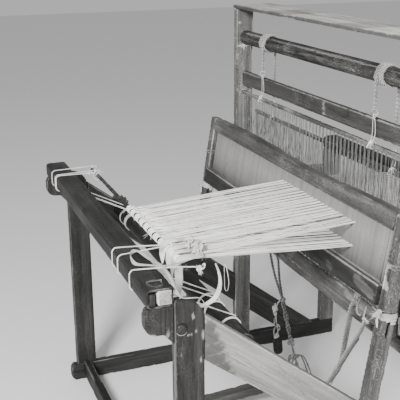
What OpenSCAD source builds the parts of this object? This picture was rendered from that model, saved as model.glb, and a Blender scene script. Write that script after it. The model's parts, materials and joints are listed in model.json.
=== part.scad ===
// Two-shaft treadle floor loom with a counterbalance roller and a batten that pivots on the floor sills.
// X runs across the loom (+X is the weaver's right), +Y from the weaver to the back, +Z up.
// Lengths in the sections below are measured from the floor and from the breast beam's front face.

/* [Side frames] */
// Width over the outer faces of the posts
frame_w = 1116; // [1060:1:1300]
// Thickness of every board in the side frames
board_t = 28; // [26:0.5:32]
// Height of the floor sills
sill_h = 60; // [56:1:70]
// How far the sills reach in front of the front posts
sill_toe = 22; // [10:1:50]
// Front to back width of the front posts
front_post_w = 68; // [60:1:80]
// Height of the front posts
front_post_h = 766; // [760:1:780]
// Radius of the rear shoulder at the top of the front posts
front_post_round = 48; // [20:1:55]
// Slope of the long side rails
rail_angle = 37.5; // [36:0.5:39]
// Width of the long side rails
rail_w = 88; // [80:1:92]
// Height of the rail's upper edge at the back of the front post
rail_head_z = 726.5; // [715:0.5:735]
// Front of the castle posts, from the breast beam's face
castle_y = 668; // [660:1:680]
// Front to back width of the castle posts
castle_post_w = 61; // [58:1:70]
// Height of the castle posts
castle_post_h = 1274; // [1268:1:1318]
// Front of the rear posts
rear_y = 1030; // [1020:1:1060]
// Front to back width of the rear posts
rear_post_w = 60; // [54:1:70]
// Height of the short rails between castle post and rear post
rear_rail_z = 640; // [560:1:680]
// Width of the short rails
rear_rail_w = 56; // [40:1:70]

/* [Beams and cross pieces] */
// How far the breast beam's ends stay inside the posts' outer faces
beam_inset = 4.5; // [3:0.5:6]
// Top of the breast beam and back beam
beam_top_z = 800; // [795:1:815]
// Height of the breast beam and back beam sections
beam_h = 45; // [42:1:50]
// Front to back depth of the breast beam
beam_d = 62; // [50:1:70]
// Radius of the breast beam's worn front edges
beam_round = 9; // [4:0.5:14]
// Thickness of the brackets under the beam ends
bracket_t = 24; // [16:1:28]
// Height of the brackets
bracket_h = 92; // [80:1:110]
// Thickness of the castle's top board
castle_board_t = 12; // [10:0.5:18]
// Front to back width of the castle's top board
castle_board_w = 141; // [120:1:160]
// How far the top board reaches in front of the castle posts
castle_board_lip = 4; // [0:1:12]
// Height of the castle's cross rail
cross_rail_h = 48; // [40:1:60]
// Thickness of the castle's cross rail
cross_rail_t = 16; // [12:0.5:18]
// Distance from the posts' tops down to the cross rail
cross_rail_drop = 209; // [196:1:214]
// Height of the two stretchers
stretcher_h = 56; // [40:1:70]
// Thickness of the two stretchers
stretcher_t = 26; // [20:1:30]
// Height of the front stretcher's underside
stretcher_z = 18; // [6:1:30]
// Height of the rear stretcher's underside
rear_stretcher_z = 290; // [270:1:300]

/* [Batten] */
// Distance of the batten's pivot from the breast beam's face
pivot_y = 480; // [470:1:490]
// Height of the batten's pivot
pivot_z = 32; // [30:1:34]
// Backward lean of the batten at rest
lean = 9; // [7:0.5:10]
// Width of the swords across the loom
sword_w = 40; // [30:1:44]
// Depth of the swords
sword_d = 30; // [26:1:34]
// Length of the swords above the pivot
sword_len = 876; // [870:1:890]
// Gap between a sword and the post beside it
sword_gap = 2; // [1:0.5:6]
// Distance from the pivot to the race board's top
race_r = 700; // [690:1:705]
// Height of the race board
race_h = 52; // [44:1:56]
// Reach of the race board in front of the sword line
race_front = 27; // [24:1:34]
// Reach of the race board behind the sword line
race_back = 24; // [16:1:28]
// Open height of the reed
reed_h = 134; // [124:1:138]
// Spacing of the reed's dents
reed_pitch = 10; // [10:0.5:12]
// Thickness of one dent
dent_t = 1; // [0.6:0.1:1.4]
// Depth of a dent
dent_d = 8; // [6:0.5:9]
// Height of the hand tree at its ends
hand_tree_h = 44; // [40:1:50]
// Depth of the worn hollow in the hand tree's upper edge
hand_tree_dip = 11; // [4:1:14]
// Depth of the hand tree
hand_tree_d = 34; // [28:1:36]
// Diameter of the two batten pivot pins
pivot_pin_d = 16; // [12:0.5:18]

/* [Shafts and roller] */
// Diameter of the counterbalance roller
roller_d = 46; // [42:1:50]
// Distance from the posts' tops down to the roller's axis
roller_drop = 96; // [84:1:104]
// Diameter of the roller's end journals
roller_journal_d = 22; // [16:1:26]
// Diameter of the lifting ropes
rope_d = 6; // [4:0.5:6.5]
// Distance of the front lifting ropes from the loom's middle
front_rope_x = 331; // [300:1:345]
// Distance of the back lifting ropes from the loom's middle
back_rope_x = 352; // [351:1:380]
// Gap between the shafts' ends and the castle posts
shaft_gap = 40; // [30:1:50]
// Distance from the roller's axis down to the raised front shaft's heddle bar
heddle_bar_drop = 178; // [174:1:182]
// Height of a heddle bar's section
heddle_bar_h = 12; // [10:1:14]
// Thickness of the shaft bars
shaft_t = 12; // [8:0.5:12]
// Distance from the heddle bar's middle to the foot bar's underside
shaft_h = 474; // [465:1:480]
// Height of the foot bars
foot_bar_h = 47; // [40:1:50]
// How far the back shaft hangs below the front shaft at rest
shed_drop = 70; // [60:1:74]
// Height of the raised front shaft's eyes above the beams' tops
eye_rise = 26; // [15:1:35]
// Height of one heddle eye
eye_h = 22; // [16:1:30]
// Diameter of a heddle string
string_d = 1.2; // [1:0.1:1.4]

/* [Treadles] */
// Distance of the treadles from the loom's middle
treadle_x = 132; // [110:1:150]
// Width of a treadle
treadle_w = 44; // [36:1:60]
// Thickness of a treadle
treadle_t = 28; // [24:1:32]
// Length of a treadle from its pivot to its free end
treadle_len = 640; // [610:1:680]
// Distance of the treadle pivots from the breast beam's face
treadle_y = 130; // [126:1:134]
// Height of the treadle pivots
treadle_z = 46; // [42:1:50]
// Slope of the raised right treadle
right_slope = 10.2; // [9.5:0.1:11]
// Slope of the pressed left treadle
left_slope = 3.5; // [3:0.1:4]
// Diameter of the treadle axle
treadle_axle_d = 12; // [10:0.5:14]

/* [Cloth beam and warp beam] */
// Distance of the cloth beam's axis from the breast beam's face
cloth_y = 240; // [236:1:250]
// Height of the cloth beam's axis
cloth_z = 620; // [616:1:624]
// Diameter of the cloth beam
cloth_d = 50; // [44:1:56]
// Diameter of the beams' end journals
journal_d = 26; // [20:1:30]
// Height of the warp beam's axis
warp_beam_z = 430; // [380:1:480]
// Diameter of the warp beam
warp_beam_d = 70; // [60:1:76]
// Diameter over the warp wound on the beam
warp_roll_d = 92; // [86:1:100]
// Outer diameter of the ratchet wheels
ratchet_d = 84; // [76:1:90]
// Thickness of the ratchet wheels
ratchet_t = 14; // [10:1:16]
// Number of teeth on a ratchet wheel
ratchet_teeth = 16; // [12:1:20]
// Depth of the ratchet teeth
tooth_h = 7; // [5:0.5:8]

/* [Warp and cords] */
// Left edge of the warp
warp_x = -15; // [-15:20:45]
// Number of warp ends on each shaft
warp_ends = 21; // [11:1:23]
// Diameter of a warp end
warp_d = 2.4; // [1.6:0.1:2.6]
// Diameter of the apron cords
apron_d = 3.6; // [3:0.1:4]
// Diameter of the apron rod
apron_rod_d = 12; // [10:1:14]
// Distance of the apron rod from the breast beam's face
apron_rod_y = 128; // [120:1:140]

/* [Fit] */
// Radial running clearance of every journal and pin
run_gap = 0.05; // [0.02:0.01:0.1]
// Clearance between soft cords and what they pass
soft_gap = 0.3; // [0.2:0.05:0.5]

/* [Hidden] */
$fn = 48;

LEFT = -1;
RIGHT = 1;

// Side frames
outer_x = frame_w / 2;
inner_x = outer_x - board_t;
post_back_y = beam_d + front_post_w;
rail_drop = rail_w / cos(rail_angle);
castle_back_y = castle_y + castle_post_w;
rear_back_y = rear_y + rear_post_w;

// Cross pieces and shafts
beam_len = frame_w - 2 * beam_inset;
cross_rail_z = castle_post_h - cross_rail_drop - cross_rail_h;
roller_z = castle_post_h - roller_drop;
heddle_bar_z = roller_z - heddle_bar_drop;
shaft_len = 2 * (inner_x - shaft_gap);

// Lifting gear
roller_y = castle_y + castle_post_w / 2 + 1.5;
rope_r = rope_d / 2;
lift_r = roller_d / 2 + rope_r;
front_shaft_y = roller_y - lift_r;
back_shaft_y = roller_y + lift_r;
back_bar_z = heddle_bar_z - shed_drop;
front_eye_z = beam_top_z + eye_rise;
back_eye_z = front_eye_z - shed_drop;
eye_drop = heddle_bar_z - front_eye_z;
ring_r = 8;
ring_wire = 2;
ring_lift = 84;

// Batten
sword_in_x = outer_x + sword_gap;
sword_out_x = sword_in_x + sword_w;
batten_in_x = sword_in_x - 1;
reed_rib = 8;
reed_y = -2;

// Beams
warp_beam_y = rear_back_y - warp_roll_d / 2;
end_gap = 1;
apron_r = apron_d / 2;
warp_r = warp_d / 2;
rod_z = beam_top_z - soft_gap - apron_rod_d / 2;
warp_pitch = 2 * reed_pitch;

// The whole loom is centred on its floor area
front_reach = 6;
rear_reach = rear_back_y + warp_d + soft_gap;
mid_y = (rear_reach - front_reach) / 2;

// Upper edge of a side rail at distance y
function rail_top(y) = rail_head_z - (y - post_back_y) * tan(rail_angle);
// Distance at which a side rail's upper edge is at height z
function rail_at(z) = post_back_y + (rail_head_z - z) / tan(rail_angle);

// Points of an arc in a plane, from angle a to angle b
function arc(centre, r, a, b, steps = 8) =
    [for (i = [0:steps]) centre + r * [cos(a + (b - a) * i / steps), sin(a + (b - a) * i / steps)]];

// Unit vector, and the direction of a route at one of its points
function unit(v) = v / norm(v);
function heading(route, i) =
    unit((i < len(route) - 1 ? unit(route[i + 1] - route[i]) : [0, 0, 0])
        + (i > 0 ? unit(route[i] - route[i - 1]) : [0, 0, 0]));

// A round cord along a route that never runs straight along X
module tube(route, r, sides = 8) {
    last = len(route) - 1;
    points = [for (i = [0:last], k = [0:sides - 1])
        let (t = heading(route, i), v = unit(cross(t, [1, 0, 0])), u = cross(v, t))
        route[i] + r * (cos(360 * k / sides) * u + sin(360 * k / sides) * v)];
    skin = [for (i = [0:last - 1], k = [0:sides - 1])
        [i * sides + k, (i + 1) * sides + k,
            (i + 1) * sides + (k + 1) % sides, i * sides + (k + 1) % sides]];
    caps = [[for (k = [0:sides - 1]) k], [for (k = [sides - 1:-1:0]) last * sides + k]];
    polyhedron(points, concat(skin, caps));
}

// Moves everything from the breast beam's face to the middle of the floor area
module placed() translate([0, -mid_y, 0]) children();

// Extrudes a profile drawn in (y, z) from x0 over a length along X
module along_x(x0, length) translate([x0, 0, 0]) rotate([90, 0, 90]) linear_extrude(length) children();

// Extrudes a side frame profile as a board in the plane of the left or right side frame
module side_board(side, t = board_t) along_x(side > 0 ? inner_x : -outer_x, t) children();

// A cylinder along X, centred on (y, z)
module bar_x(x0, x1, y, z, d) translate([x0, y, z]) rotate([0, 90, 0]) cylinder(h = x1 - x0, d = d);

// A ring of round section around the X direction
module hoop_x(x, y, z, r, wire) translate([x, y, z]) rotate([0, 90, 0])
    rotate_extrude() translate([r, 0]) circle(r = wire);

// Puts its children in the batten's own frame: pivot at the origin, sword along +Z
module batten_frame() translate([0, pivot_y, pivot_z]) rotate([-lean, 0, 0]) children();

// Sills, posts and rails

sill_front_y = beam_d - sill_toe;
sill_back_y = rear_back_y;

module sill(side) color("#3d3934") placed() difference() {
    side_board(side) polygon([
        [sill_front_y + 12, 0], [sill_back_y, 0], [sill_back_y, sill_h],
        [sill_front_y + 8, sill_h], [sill_front_y, sill_h - 10], [sill_front_y, 12]
    ]);
    bar_x(-outer_x - 1, outer_x + 1, pivot_y, pivot_z, pivot_pin_d);
}

plug_d = 20;
plug_depth = 8;
plug_sunk = 3;
plug_y = beam_d + 17;
plug_z = beam_top_z - 99;

module front_post(side) color("#4a453f") placed() difference() {
    side_board(side) intersection() {
        translate([beam_d, sill_h]) square([front_post_w, front_post_h - sill_h]);
        union() {
            translate([beam_d, sill_h]) square([front_post_w, front_post_h - front_post_round - sill_h]);
            translate([beam_d, sill_h]) square([front_post_w - front_post_round, front_post_h - sill_h]);
            translate([post_back_y - front_post_round, front_post_h - front_post_round])
                circle(r = front_post_round);
        }
    }
    translate([side * (outer_x - plug_depth), plug_y, plug_z])
        rotate([0, side * 90, 0]) cylinder(h = plug_depth + 1, d = plug_d);
}

module post_plugs() color("#5a5148") placed() for (side = [LEFT, RIGHT])
    translate([side * (outer_x - plug_depth), plug_y, plug_z])
        rotate([0, side * 90, 0]) cylinder(h = plug_depth - plug_sunk, d = plug_d);

// A beam's journal runs through the left board and ends inside the right one
journal_in = 18;
module journal_hole(side, y, z) bar_x(
    side > 0 ? inner_x - 1 : -outer_x - 1, side > 0 ? inner_x + journal_in + end_gap : -inner_x + 1,
    y, z, journal_d + 2 * run_gap
);

module rail_profile() polygon([
    [post_back_y, rail_head_z], [post_back_y, rail_head_z - rail_drop],
    [rail_at(sill_h + rail_drop), sill_h], [rail_at(sill_h), sill_h]
]);

module side_rail(side) color("#b0a698") placed() difference() {
    side_board(side) rail_profile();
    intersection() {
        along_x(side > 0 ? inner_x - 1 : -inner_x - board_t / 2, board_t / 2 + 1)
            translate([castle_y, sill_h]) square([castle_post_w, castle_y]);
        side_board(side, board_t) rail_profile();
    }
    journal_hole(side, cloth_y, cloth_z);
    if (side == LEFT) pawl_hole(cloth_y, cloth_z, cloth_pawl_dir);
}

// Castle post and side rail cross in a halving: the post keeps the inner half, the rail the outer half
module castle_post(side) color("#3a3631") placed() difference() {
    side_board(side) translate([castle_y, sill_h]) square([castle_post_w, castle_post_h - sill_h]);
    intersection() {
        along_x(side > 0 ? inner_x + board_t / 2 : -outer_x - 1, board_t / 2 + 1) rail_profile();
        along_x(-outer_x - 1, frame_w + 2) translate([castle_y - 1, 0])
            square([castle_post_w + 2, castle_post_h]);
    }
    bar_x(-outer_x - 1, outer_x + 1, roller_y, roller_z, roller_journal_d + 2 * run_gap);
}

module rear_post(side) color("#3d3934") placed() difference() {
    side_board(side) translate([rear_y, sill_h]) square([rear_post_w, beam_top_z - beam_h - sill_h]);
    journal_hole(side, warp_beam_y, warp_beam_z);
    if (side == LEFT) pawl_hole(warp_beam_y, warp_beam_z, warp_pawl_dir);
}

module rear_side_rails() color("#3d3934") placed() for (side = [LEFT, RIGHT])
    side_board(side) translate([castle_back_y, rear_rail_z]) square([rear_y - castle_back_y, rear_rail_w]);

// Cross pieces

module castle_board() color("#57514a") placed()
    translate([-outer_x, castle_y - castle_board_lip, castle_post_h])
        cube([frame_w, castle_board_w, castle_board_t]);

cross_rail_y = roller_y - cross_rail_t / 2 - 4;

module cross_rail() color("#4a453f") placed() along_x(-inner_x, 2 * inner_x) polygon([
    [cross_rail_y, cross_rail_z], [cross_rail_y + cross_rail_t, cross_rail_z],
    [cross_rail_y + cross_rail_t, cross_rail_z + cross_rail_h],
    [cross_rail_y + 3, cross_rail_z + cross_rail_h], [cross_rail_y, cross_rail_z + cross_rail_h - 3]
]);

module stretcher(y, z) along_x(-inner_x, 2 * inner_x) translate([y, z]) square([stretcher_t, stretcher_h]);

module front_stretcher() color("#3d3934") placed()
    stretcher(beam_d + (front_post_w - stretcher_t) / 2, stretcher_z);

module rear_stretcher() color("#3d3934") placed()
    stretcher(rear_y + (rear_post_w - stretcher_t) / 2, rear_stretcher_z);

// The pocket in each end of the breast beam, and the block wedged into its rear part
pocket_y = 8;
pocket_depth = 34;
pocket_wall = 5;
block_y = 25;

module beam_profile() union() {
    translate([beam_round, beam_top_z - beam_h]) square([beam_d - beam_round, beam_h]);
    translate([0, beam_top_z - beam_h + beam_round]) square([beam_d, beam_h - 2 * beam_round]);
    for (z = [beam_top_z - beam_h + beam_round, beam_top_z - beam_round])
        translate([beam_round, z]) circle(r = beam_round);
}

module breast_beam() color("#4d473f") placed() difference() {
    along_x(-beam_len / 2, beam_len) beam_profile();
    for (side = [LEFT, RIGHT])
        along_x(side > 0 ? beam_len / 2 - pocket_depth : -beam_len / 2 - 1, pocket_depth + 1)
        translate([pocket_y, beam_top_z - beam_h + pocket_wall])
            square([beam_d - pocket_y - 4, beam_h - 2 * pocket_wall]);
    for (y = [staple_y, staple_y + staple_len]) translate([staple_x, y, beam_top_z - staple_leg])
        cylinder(h = staple_leg + 1, d = staple_d);
}

module beam_end_blocks() color("#a79d8c") placed() for (side = [LEFT, RIGHT])
    along_x(side > 0 ? beam_len / 2 - pocket_depth : -beam_len / 2 + 1, pocket_depth - 1)
        translate([block_y, beam_top_z - beam_h + pocket_wall])
            square([beam_d - block_y - 4, beam_h - 2 * pocket_wall]);

// A bent iron staple driven into the top of the beam near its right end
staple_d = 4;
staple_x = inner_x - 14;
staple_y = 14;
staple_len = 32;
staple_leg = 5;

module beam_staple() color("#6b5d4e") placed() {
    for (y = [staple_y, staple_y + staple_len]) translate([staple_x, y, beam_top_z - staple_leg])
        cylinder(h = staple_leg + staple_d, d = staple_d);
    translate([staple_x, staple_y, beam_top_z + staple_d]) rotate([-90, 0, 0])
        cylinder(h = staple_len, d = staple_d);
    for (y = [staple_y, staple_y + staple_len])
        translate([staple_x, y, beam_top_z + staple_d]) sphere(d = staple_d);
}

bracket_r = 30;
// Where the bracket's front face begins and ends below the beam
bracket_slant = 15;
bracket_nose = 34;
bracket_heel = 24;

module bracket_profile() {
    top = beam_top_z - beam_h;
    low = top - bracket_h;
    union() {
        polygon([
            [beam_d, top], [0, top], [-front_reach, top - bracket_slant], [-front_reach, top - bracket_nose],
            [bracket_r - front_reach, top - bracket_nose],
            [bracket_r - front_reach, top - bracket_nose - bracket_r],
            [beam_d - bracket_heel, top - bracket_nose - bracket_r], [beam_d, low]
        ]);
        translate([bracket_r - front_reach, top - bracket_nose]) circle(r = bracket_r);
    }
}

module beam_brackets() color("#4a453f") placed() for (side = [LEFT, RIGHT])
    along_x(side > 0 ? outer_x - 4 - bracket_t : -outer_x + 4, bracket_t) bracket_profile();

module back_beam() color("#3d3934") placed() along_x(-outer_x, frame_w) union() {
    translate([rear_y, beam_top_z - beam_h]) square([rear_post_w, beam_h - beam_round]);
    translate([rear_y + beam_round, beam_top_z - beam_round])
        square([rear_post_w - 2 * beam_round, beam_round]);
    for (y = [rear_y + beam_round, rear_back_y - beam_round])
        translate([y, beam_top_z - beam_round]) circle(r = beam_round);
}

// Wooden pegs that stand a little proud of the castle posts
peg_d = 12;
peg_proud = 3;
peg_top_drop = 47;
peg_low_z = 893;
peg_front = 10;
peg_back = 16;
halving_peg_proud = 1.5;

module joint_pegs() color("#8f8576") placed() for (side = [LEFT, RIGHT]) {
    middle_y = castle_y + castle_post_w / 2;
    for (p = [[castle_y + peg_front, castle_post_h - peg_top_drop], [castle_back_y - peg_back, peg_low_z]])
        translate([side * inner_x, p[0], p[1]])
            rotate([0, -side * 90, 0]) cylinder(h = peg_proud, d = peg_d);
    translate([side * outer_x, middle_y, rail_top(middle_y) - rail_drop / 2])
        rotate([0, side * 90, 0]) cylinder(h = halving_peg_proud, d = peg_d);
}

// Pivot pins through the sills for the two swords
pin_head = 4;

module batten_pins() color("#6b5d4e") placed() for (side = [LEFT, RIGHT]) {
    translate([side * inner_x, pivot_y, pivot_z]) rotate([0, side * 90, 0])
        cylinder(h = sword_out_x + end_gap - inner_x, d = pivot_pin_d);
    translate([side * (sword_out_x + end_gap), pivot_y, pivot_z]) rotate([0, side * 90, 0])
        cylinder(h = pin_head, d = pivot_pin_d + 8);
}

// Treadle axle and the three lugs that carry it behind the front stretcher
lug_t = 14;
lug_x = treadle_x + treadle_w / 2 + 1 + lug_t / 2;

module treadle_mount() color("#5a5148") placed() {
    stretcher_back = beam_d + (front_post_w + stretcher_t) / 2;
    for (x = [-lug_x, 0, lug_x]) along_x(x - lug_t / 2, lug_t) union() {
        translate([treadle_y, treadle_z]) circle(d = treadle_t);
        translate([stretcher_back, treadle_z - treadle_t / 2])
            square([treadle_y - stretcher_back, treadle_t]);
    }
    bar_x(-lug_x - lug_t, lug_x + lug_t, treadle_y, treadle_z, treadle_axle_d);
}

// Batten: two swords, hand tree, race board and reed

slot_w = 10;
slot_len = 62;
slot_r = race_r - race_h - 62;

module sword(side) color("#6a6257") placed() batten_frame() difference() {
    x0 = side > 0 ? sword_in_x : -sword_out_x;
    along_x(x0, sword_w) union() {
        circle(d = sword_d);
        translate([-sword_d / 2, 0]) square([sword_d, sword_len - 6]);
        translate([-sword_d / 2 + 6, sword_len - 6]) square([sword_d - 12, 6]);
        for (y = [-sword_d / 2 + 6, sword_d / 2 - 6]) translate([y, sword_len - 6]) circle(r = 6);
    }
    bar_x(x0 - 1, x0 + sword_w + 1, 0, 0, pivot_pin_d + 2 * run_gap);
    along_x(x0 - 1, sword_w + 2) translate([0, slot_r]) union() {
        translate([-slot_w / 2, 0]) square([slot_w, slot_len - slot_w]);
        for (z = [0, slot_len - slot_w]) translate([0, z]) circle(d = slot_w);
    }
}

// Hand tree: straight groove below, a worn edge with a shallow hollow right of the middle above
edge_wave = 1;
edge_ripple = 0.6;
edge_steps = 18;
end_round = 16;
function hand_edge(x) = let (u = x / batten_in_x)
    hand_tree_h + edge_wave * sin(503 * u) + edge_ripple * sin(1286 * u + 40)
    - hand_tree_dip * exp(-pow((u - 0.22) / 0.3, 2));

// Clear slot for the reed's ribs, open on the side towards the reed
module reed_slot(r) translate([-reed_x - 1, reed_y - dent_d / 2 - 1 - soft_gap, r])
    cube([2 * reed_x + 2, dent_d + 2 + 2 * soft_gap, reed_rib + 1]);

module hand_tree() color("#57514a") placed() batten_frame() difference() {
    top_r = race_r + reed_h;
    step = (batten_in_x - end_round) / edge_steps;
    translate([0, hand_tree_d / 2 - 1, 0]) rotate([90, 0, 0]) linear_extrude(hand_tree_d) polygon(concat(
        [[batten_in_x, top_r], [-batten_in_x, top_r]],
        [[-batten_in_x, top_r + hand_edge(-batten_in_x) - end_round]],
        [for (i = [-edge_steps:edge_steps]) [i * step, top_r + hand_edge(i * step)]],
        [[batten_in_x, top_r + hand_edge(batten_in_x) - end_round / 2]]
    ));
    reed_slot(top_r - 1);
}

// Shallow groove along the race board's top near its front edge
groove_y = 7;
groove_w = 4;
groove_h = 2;

module race_board() color("#4a453f") placed() batten_frame() difference() {
    translate([-batten_in_x, -race_front, race_r - race_h])
        cube([2 * batten_in_x, race_front + race_back, race_h]);
    reed_slot(race_r - reed_rib);
    translate([-batten_in_x - 1, -race_front + groove_y, race_r - groove_h])
        cube([2 * batten_in_x + 2, groove_w, groove_h + 1]);
}

reed_dents = 2 * floor((batten_in_x - 12) / reed_pitch);
reed_x = reed_dents * reed_pitch / 2;

module reed() color("#c9c2b4") placed() batten_frame() {
    for (r = [race_r - reed_rib, race_r + reed_h])
        translate([-reed_x - dent_t / 2, reed_y - dent_d / 2 - 1, r])
            cube([2 * reed_x + dent_t, dent_d + 2, reed_rib]);
    for (i = [0:reed_dents])
        translate([-reed_x + i * reed_pitch - dent_t / 2, reed_y - dent_d / 2, race_r - 1])
            cube([dent_t, dent_d, reed_h + 2]);
}

// Knotted rag bindings round the swords at the race board and above the hand tree's ends
lashing_t = 3;
lashing_h = 30;

lashing_rise = 40;

module lashing(side, r) translate([side > 0 ? sword_in_x : -sword_out_x, 0, r])
    linear_extrude(lashing_h) difference() {
    translate([side > 0 ? 0 : -lashing_t, -sword_d / 2 - lashing_t])
        square([sword_w + lashing_t, sword_d + 2 * lashing_t]);
    translate([side > 0 ? -1 : 0, -sword_d / 2]) square([sword_w + 1, sword_d]);
}

module rag_lashings() color("#d8d2c6") placed() batten_frame() for (side = [LEFT, RIGHT]) {
    lashing(side, race_r - race_h - lashing_h - 1);
    lashing(side, race_r + lashing_rise);
}

// Counterbalance roller and the turns of rope on it

module lift_roller() color("#6a6257") placed() {
    bar_x(-inner_x + end_gap, inner_x - end_gap, roller_y, roller_z, roller_d);
    bar_x(-outer_x - 4, outer_x + 4, roller_y, roller_z, roller_journal_d);
}

module roller_wraps() color("#cfc8ba") placed() for (side = [LEFT, RIGHT], x = [front_rope_x, back_rope_x])
    for (turn = [-1, 0, 1]) hoop_x(side * x + turn * rope_d, roller_y, roller_z, lift_r, rope_r - 0.01);

// Shafts. Each is drawn at the height of its own heddle bar

stile_t = 12;
heddle_margin = 8;
heddle_pitch = warp_pitch;

// Heddles stand in line with the warp ends of their own shaft, as far as the stiles leave room
function heddle_x(front) = let (
    x0 = front ? warp_x : warp_x - reed_pitch,
    reach = shaft_len / 2 - stile_t - heddle_margin
) [for (i = [-floor((reach + x0) / heddle_pitch):floor((reach - x0) / heddle_pitch)]) x0 + i * heddle_pitch];

module heddle_bar(y, z) translate([-shaft_len / 2, y - shaft_t / 2, z - heddle_bar_h / 2])
    cube([shaft_len, shaft_t, heddle_bar_h]);

module foot_bar(y, z) difference() {
    translate([-shaft_len / 2, y - shaft_t / 2, z - shaft_h]) cube([shaft_len, shaft_t, foot_bar_h]);
    for (x = [-shaft_len / 2 - 1, shaft_len / 2 - stile_t + 1])
        translate([x, y - shaft_t / 2 - 1, z - shaft_h - 1]) cube([stile_t, shaft_t + 2, 7]);
}

module stiles(y, z) for (side = [LEFT, RIGHT])
    translate([
        side > 0 ? shaft_len / 2 - stile_t : -shaft_len / 2,
        y - shaft_t / 2 + 2, z - shaft_h + foot_bar_h
    ])
        cube([stile_t, shaft_t - 4, shaft_h - foot_bar_h - heddle_bar_h / 2]);

// String heddles: two strings side by side, tied together above and below the eye
module heddles(y, z, front) {
    half = warp_r + string_d / 2 + 0.8;
    knot_h = 2;
    bottom = z - shaft_h + foot_bar_h;
    for (x = heddle_x(front)) {
        for (s = [-half, half]) translate([x + s, y, bottom])
            cylinder(h = z - heddle_bar_h / 2 - bottom, d = string_d, $fn = 13);
        for (k = [-0.5, 0.5]) translate([x - half, y - string_d / 2, z - eye_drop + k * eye_h - knot_h / 2])
            cube([2 * half, string_d, knot_h]);
    }
}

// Where a hanging rope leaves the turns on the roller
rope_top_z = roller_z - sqrt(pow(lift_r + rope_d, 2) - pow(lift_r, 2)) - soft_gap;

// Iron rings on the lifting ropes with a doubled cord down to the heddle bar
module hangers(y, z, x_rope) for (side = [LEFT, RIGHT]) {
    ring_z = z + ring_lift;
    translate([side * x_rope, y, ring_z]) rotate([90, 0, 0])
        rotate_extrude() translate([ring_r, 0]) circle(r = ring_wire);
    translate([side * x_rope, y, ring_z + ring_r])
        cylinder(h = rope_top_z - ring_z - ring_r, r = rope_r - 0.4);
    for (k = [-1, 1]) tube([
        [side * x_rope + k * 2.5, y, z + heddle_bar_h / 2], [side * x_rope + k * 3.2, y, z + 30],
        [side * x_rope + k * 3.4, y, z + 60], [side * x_rope + k * 2.5, y, ring_z - ring_r]
    ], 1.7);
}

module front_heddle_bar() color("#c9c2b4") placed() heddle_bar(front_shaft_y, heddle_bar_z);
module back_heddle_bar() color("#c9c2b4") placed() heddle_bar(back_shaft_y, back_bar_z);
module front_foot_bar() color("#a79d8c") placed() foot_bar(front_shaft_y, heddle_bar_z);
module back_foot_bar() color("#a79d8c") placed() foot_bar(back_shaft_y, back_bar_z);
module front_stiles() color("#c9c2b4") placed() stiles(front_shaft_y, heddle_bar_z);
module back_stiles() color("#c9c2b4") placed() stiles(back_shaft_y, back_bar_z);
module front_heddles() color("#e4dfd4") placed() heddles(front_shaft_y, heddle_bar_z, true);
module back_heddles() color("#e4dfd4") placed() heddles(back_shaft_y, back_bar_z, false);
module front_hangers() color("#cfc8ba") placed() hangers(front_shaft_y, heddle_bar_z, front_rope_x);
module back_hangers() color("#cfc8ba") placed() hangers(back_shaft_y, back_bar_z, back_rope_x);

// Tie-ups: two cords from a foot bar meet in a knot, and one rope goes on to the treadle's top face
tie_r = 3;
tie_straight = 14;
tie_end = 26;
function tie_top_z(y, slope) =
    treadle_z + (y - treadle_y) * tan(slope) + treadle_t / 2 / cos(slope) + treadle_clear;
treadle_clear = 1;
right_tie_z = tie_top_z(front_shaft_y, right_slope);
left_tie_z = tie_top_z(back_shaft_y, left_slope);

module tie_rope(y, bar_low_z, xs, knot_x, knot_z, end_x, end_z) {
    for (x = xs) tube([[x, y, bar_low_z], [x, y, bar_low_z - tie_straight],
        [(x + knot_x) / 2, y, (bar_low_z + knot_z) / 2], [knot_x, y, knot_z]], tie_r);
    translate([knot_x, y, knot_z]) sphere(r = 2.6 * tie_r, $fn = 24);
    tube([[knot_x, y, knot_z], [end_x, y, end_z + tie_end], [end_x, y, end_z]], tie_r);
}

// Places of the cords on the foot bars and of the knots, as shares of half a shaft and of the rope's drop
right_tie_x = shaft_len / 2 * [0.565, 0.714, 0.343];
left_tie_x = shaft_len / 2 * [-0.7, -0.602, -0.514];
right_tie_share = 0.797;
left_tie_share = 0.395;

module front_tie_rope() color("#b0a890") placed() let (low = heddle_bar_z - shaft_h)
    tie_rope(front_shaft_y, low, [right_tie_x[0], right_tie_x[1]], right_tie_x[2],
        low - right_tie_share * (low - right_tie_z), treadle_x, right_tie_z);
module back_tie_rope() color("#b0a890") placed() let (low = back_bar_z - shaft_h)
    tie_rope(back_shaft_y, low, [left_tie_x[0], left_tie_x[1]], left_tie_x[2],
        low - left_tie_share * (low - left_tie_z), -treadle_x, left_tie_z);

// Treadles: long boards with a rounded free end, drawn along +Y from the pivot and raised to their slope
module treadle(x, slope) placed() translate([x, treadle_y, treadle_z]) rotate([slope, 0, 0]) difference() {
    union() {
        along_x(-treadle_w / 2, treadle_w) union() {
            circle(d = treadle_t);
            translate([0, -treadle_t / 2]) square([treadle_len - treadle_w, treadle_t]);
        }
        translate([0, treadle_len - treadle_w, -treadle_t / 2]) intersection() {
            cylinder(h = treadle_t, r = treadle_w * 0.7);
            translate([-treadle_w / 2, 0, 0]) cube([treadle_w, treadle_w, treadle_t]);
        }
    }
    bar_x(-treadle_w, treadle_w, 0, 0, treadle_axle_d + 2 * run_gap);
}

module right_treadle() color("#5a5148") treadle(treadle_x, right_slope);
module left_treadle() color("#5a5148") treadle(-treadle_x, left_slope);

// Ratchet wheels on the left ends of the two beams, with their pawls
pawl_pin_d = 8;
pawl_pin_in = 12;
pawl_reach = 76;
cloth_pawl_dir = 150;
warp_pawl_dir = 90;
pawl_tip_gap = 0.6;
ratchet_x = -outer_x - end_gap;

function pawl_y(y, dir) = y + pawl_reach * cos(dir);
function pawl_z(z, dir) = z + pawl_reach * sin(dir);

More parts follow.
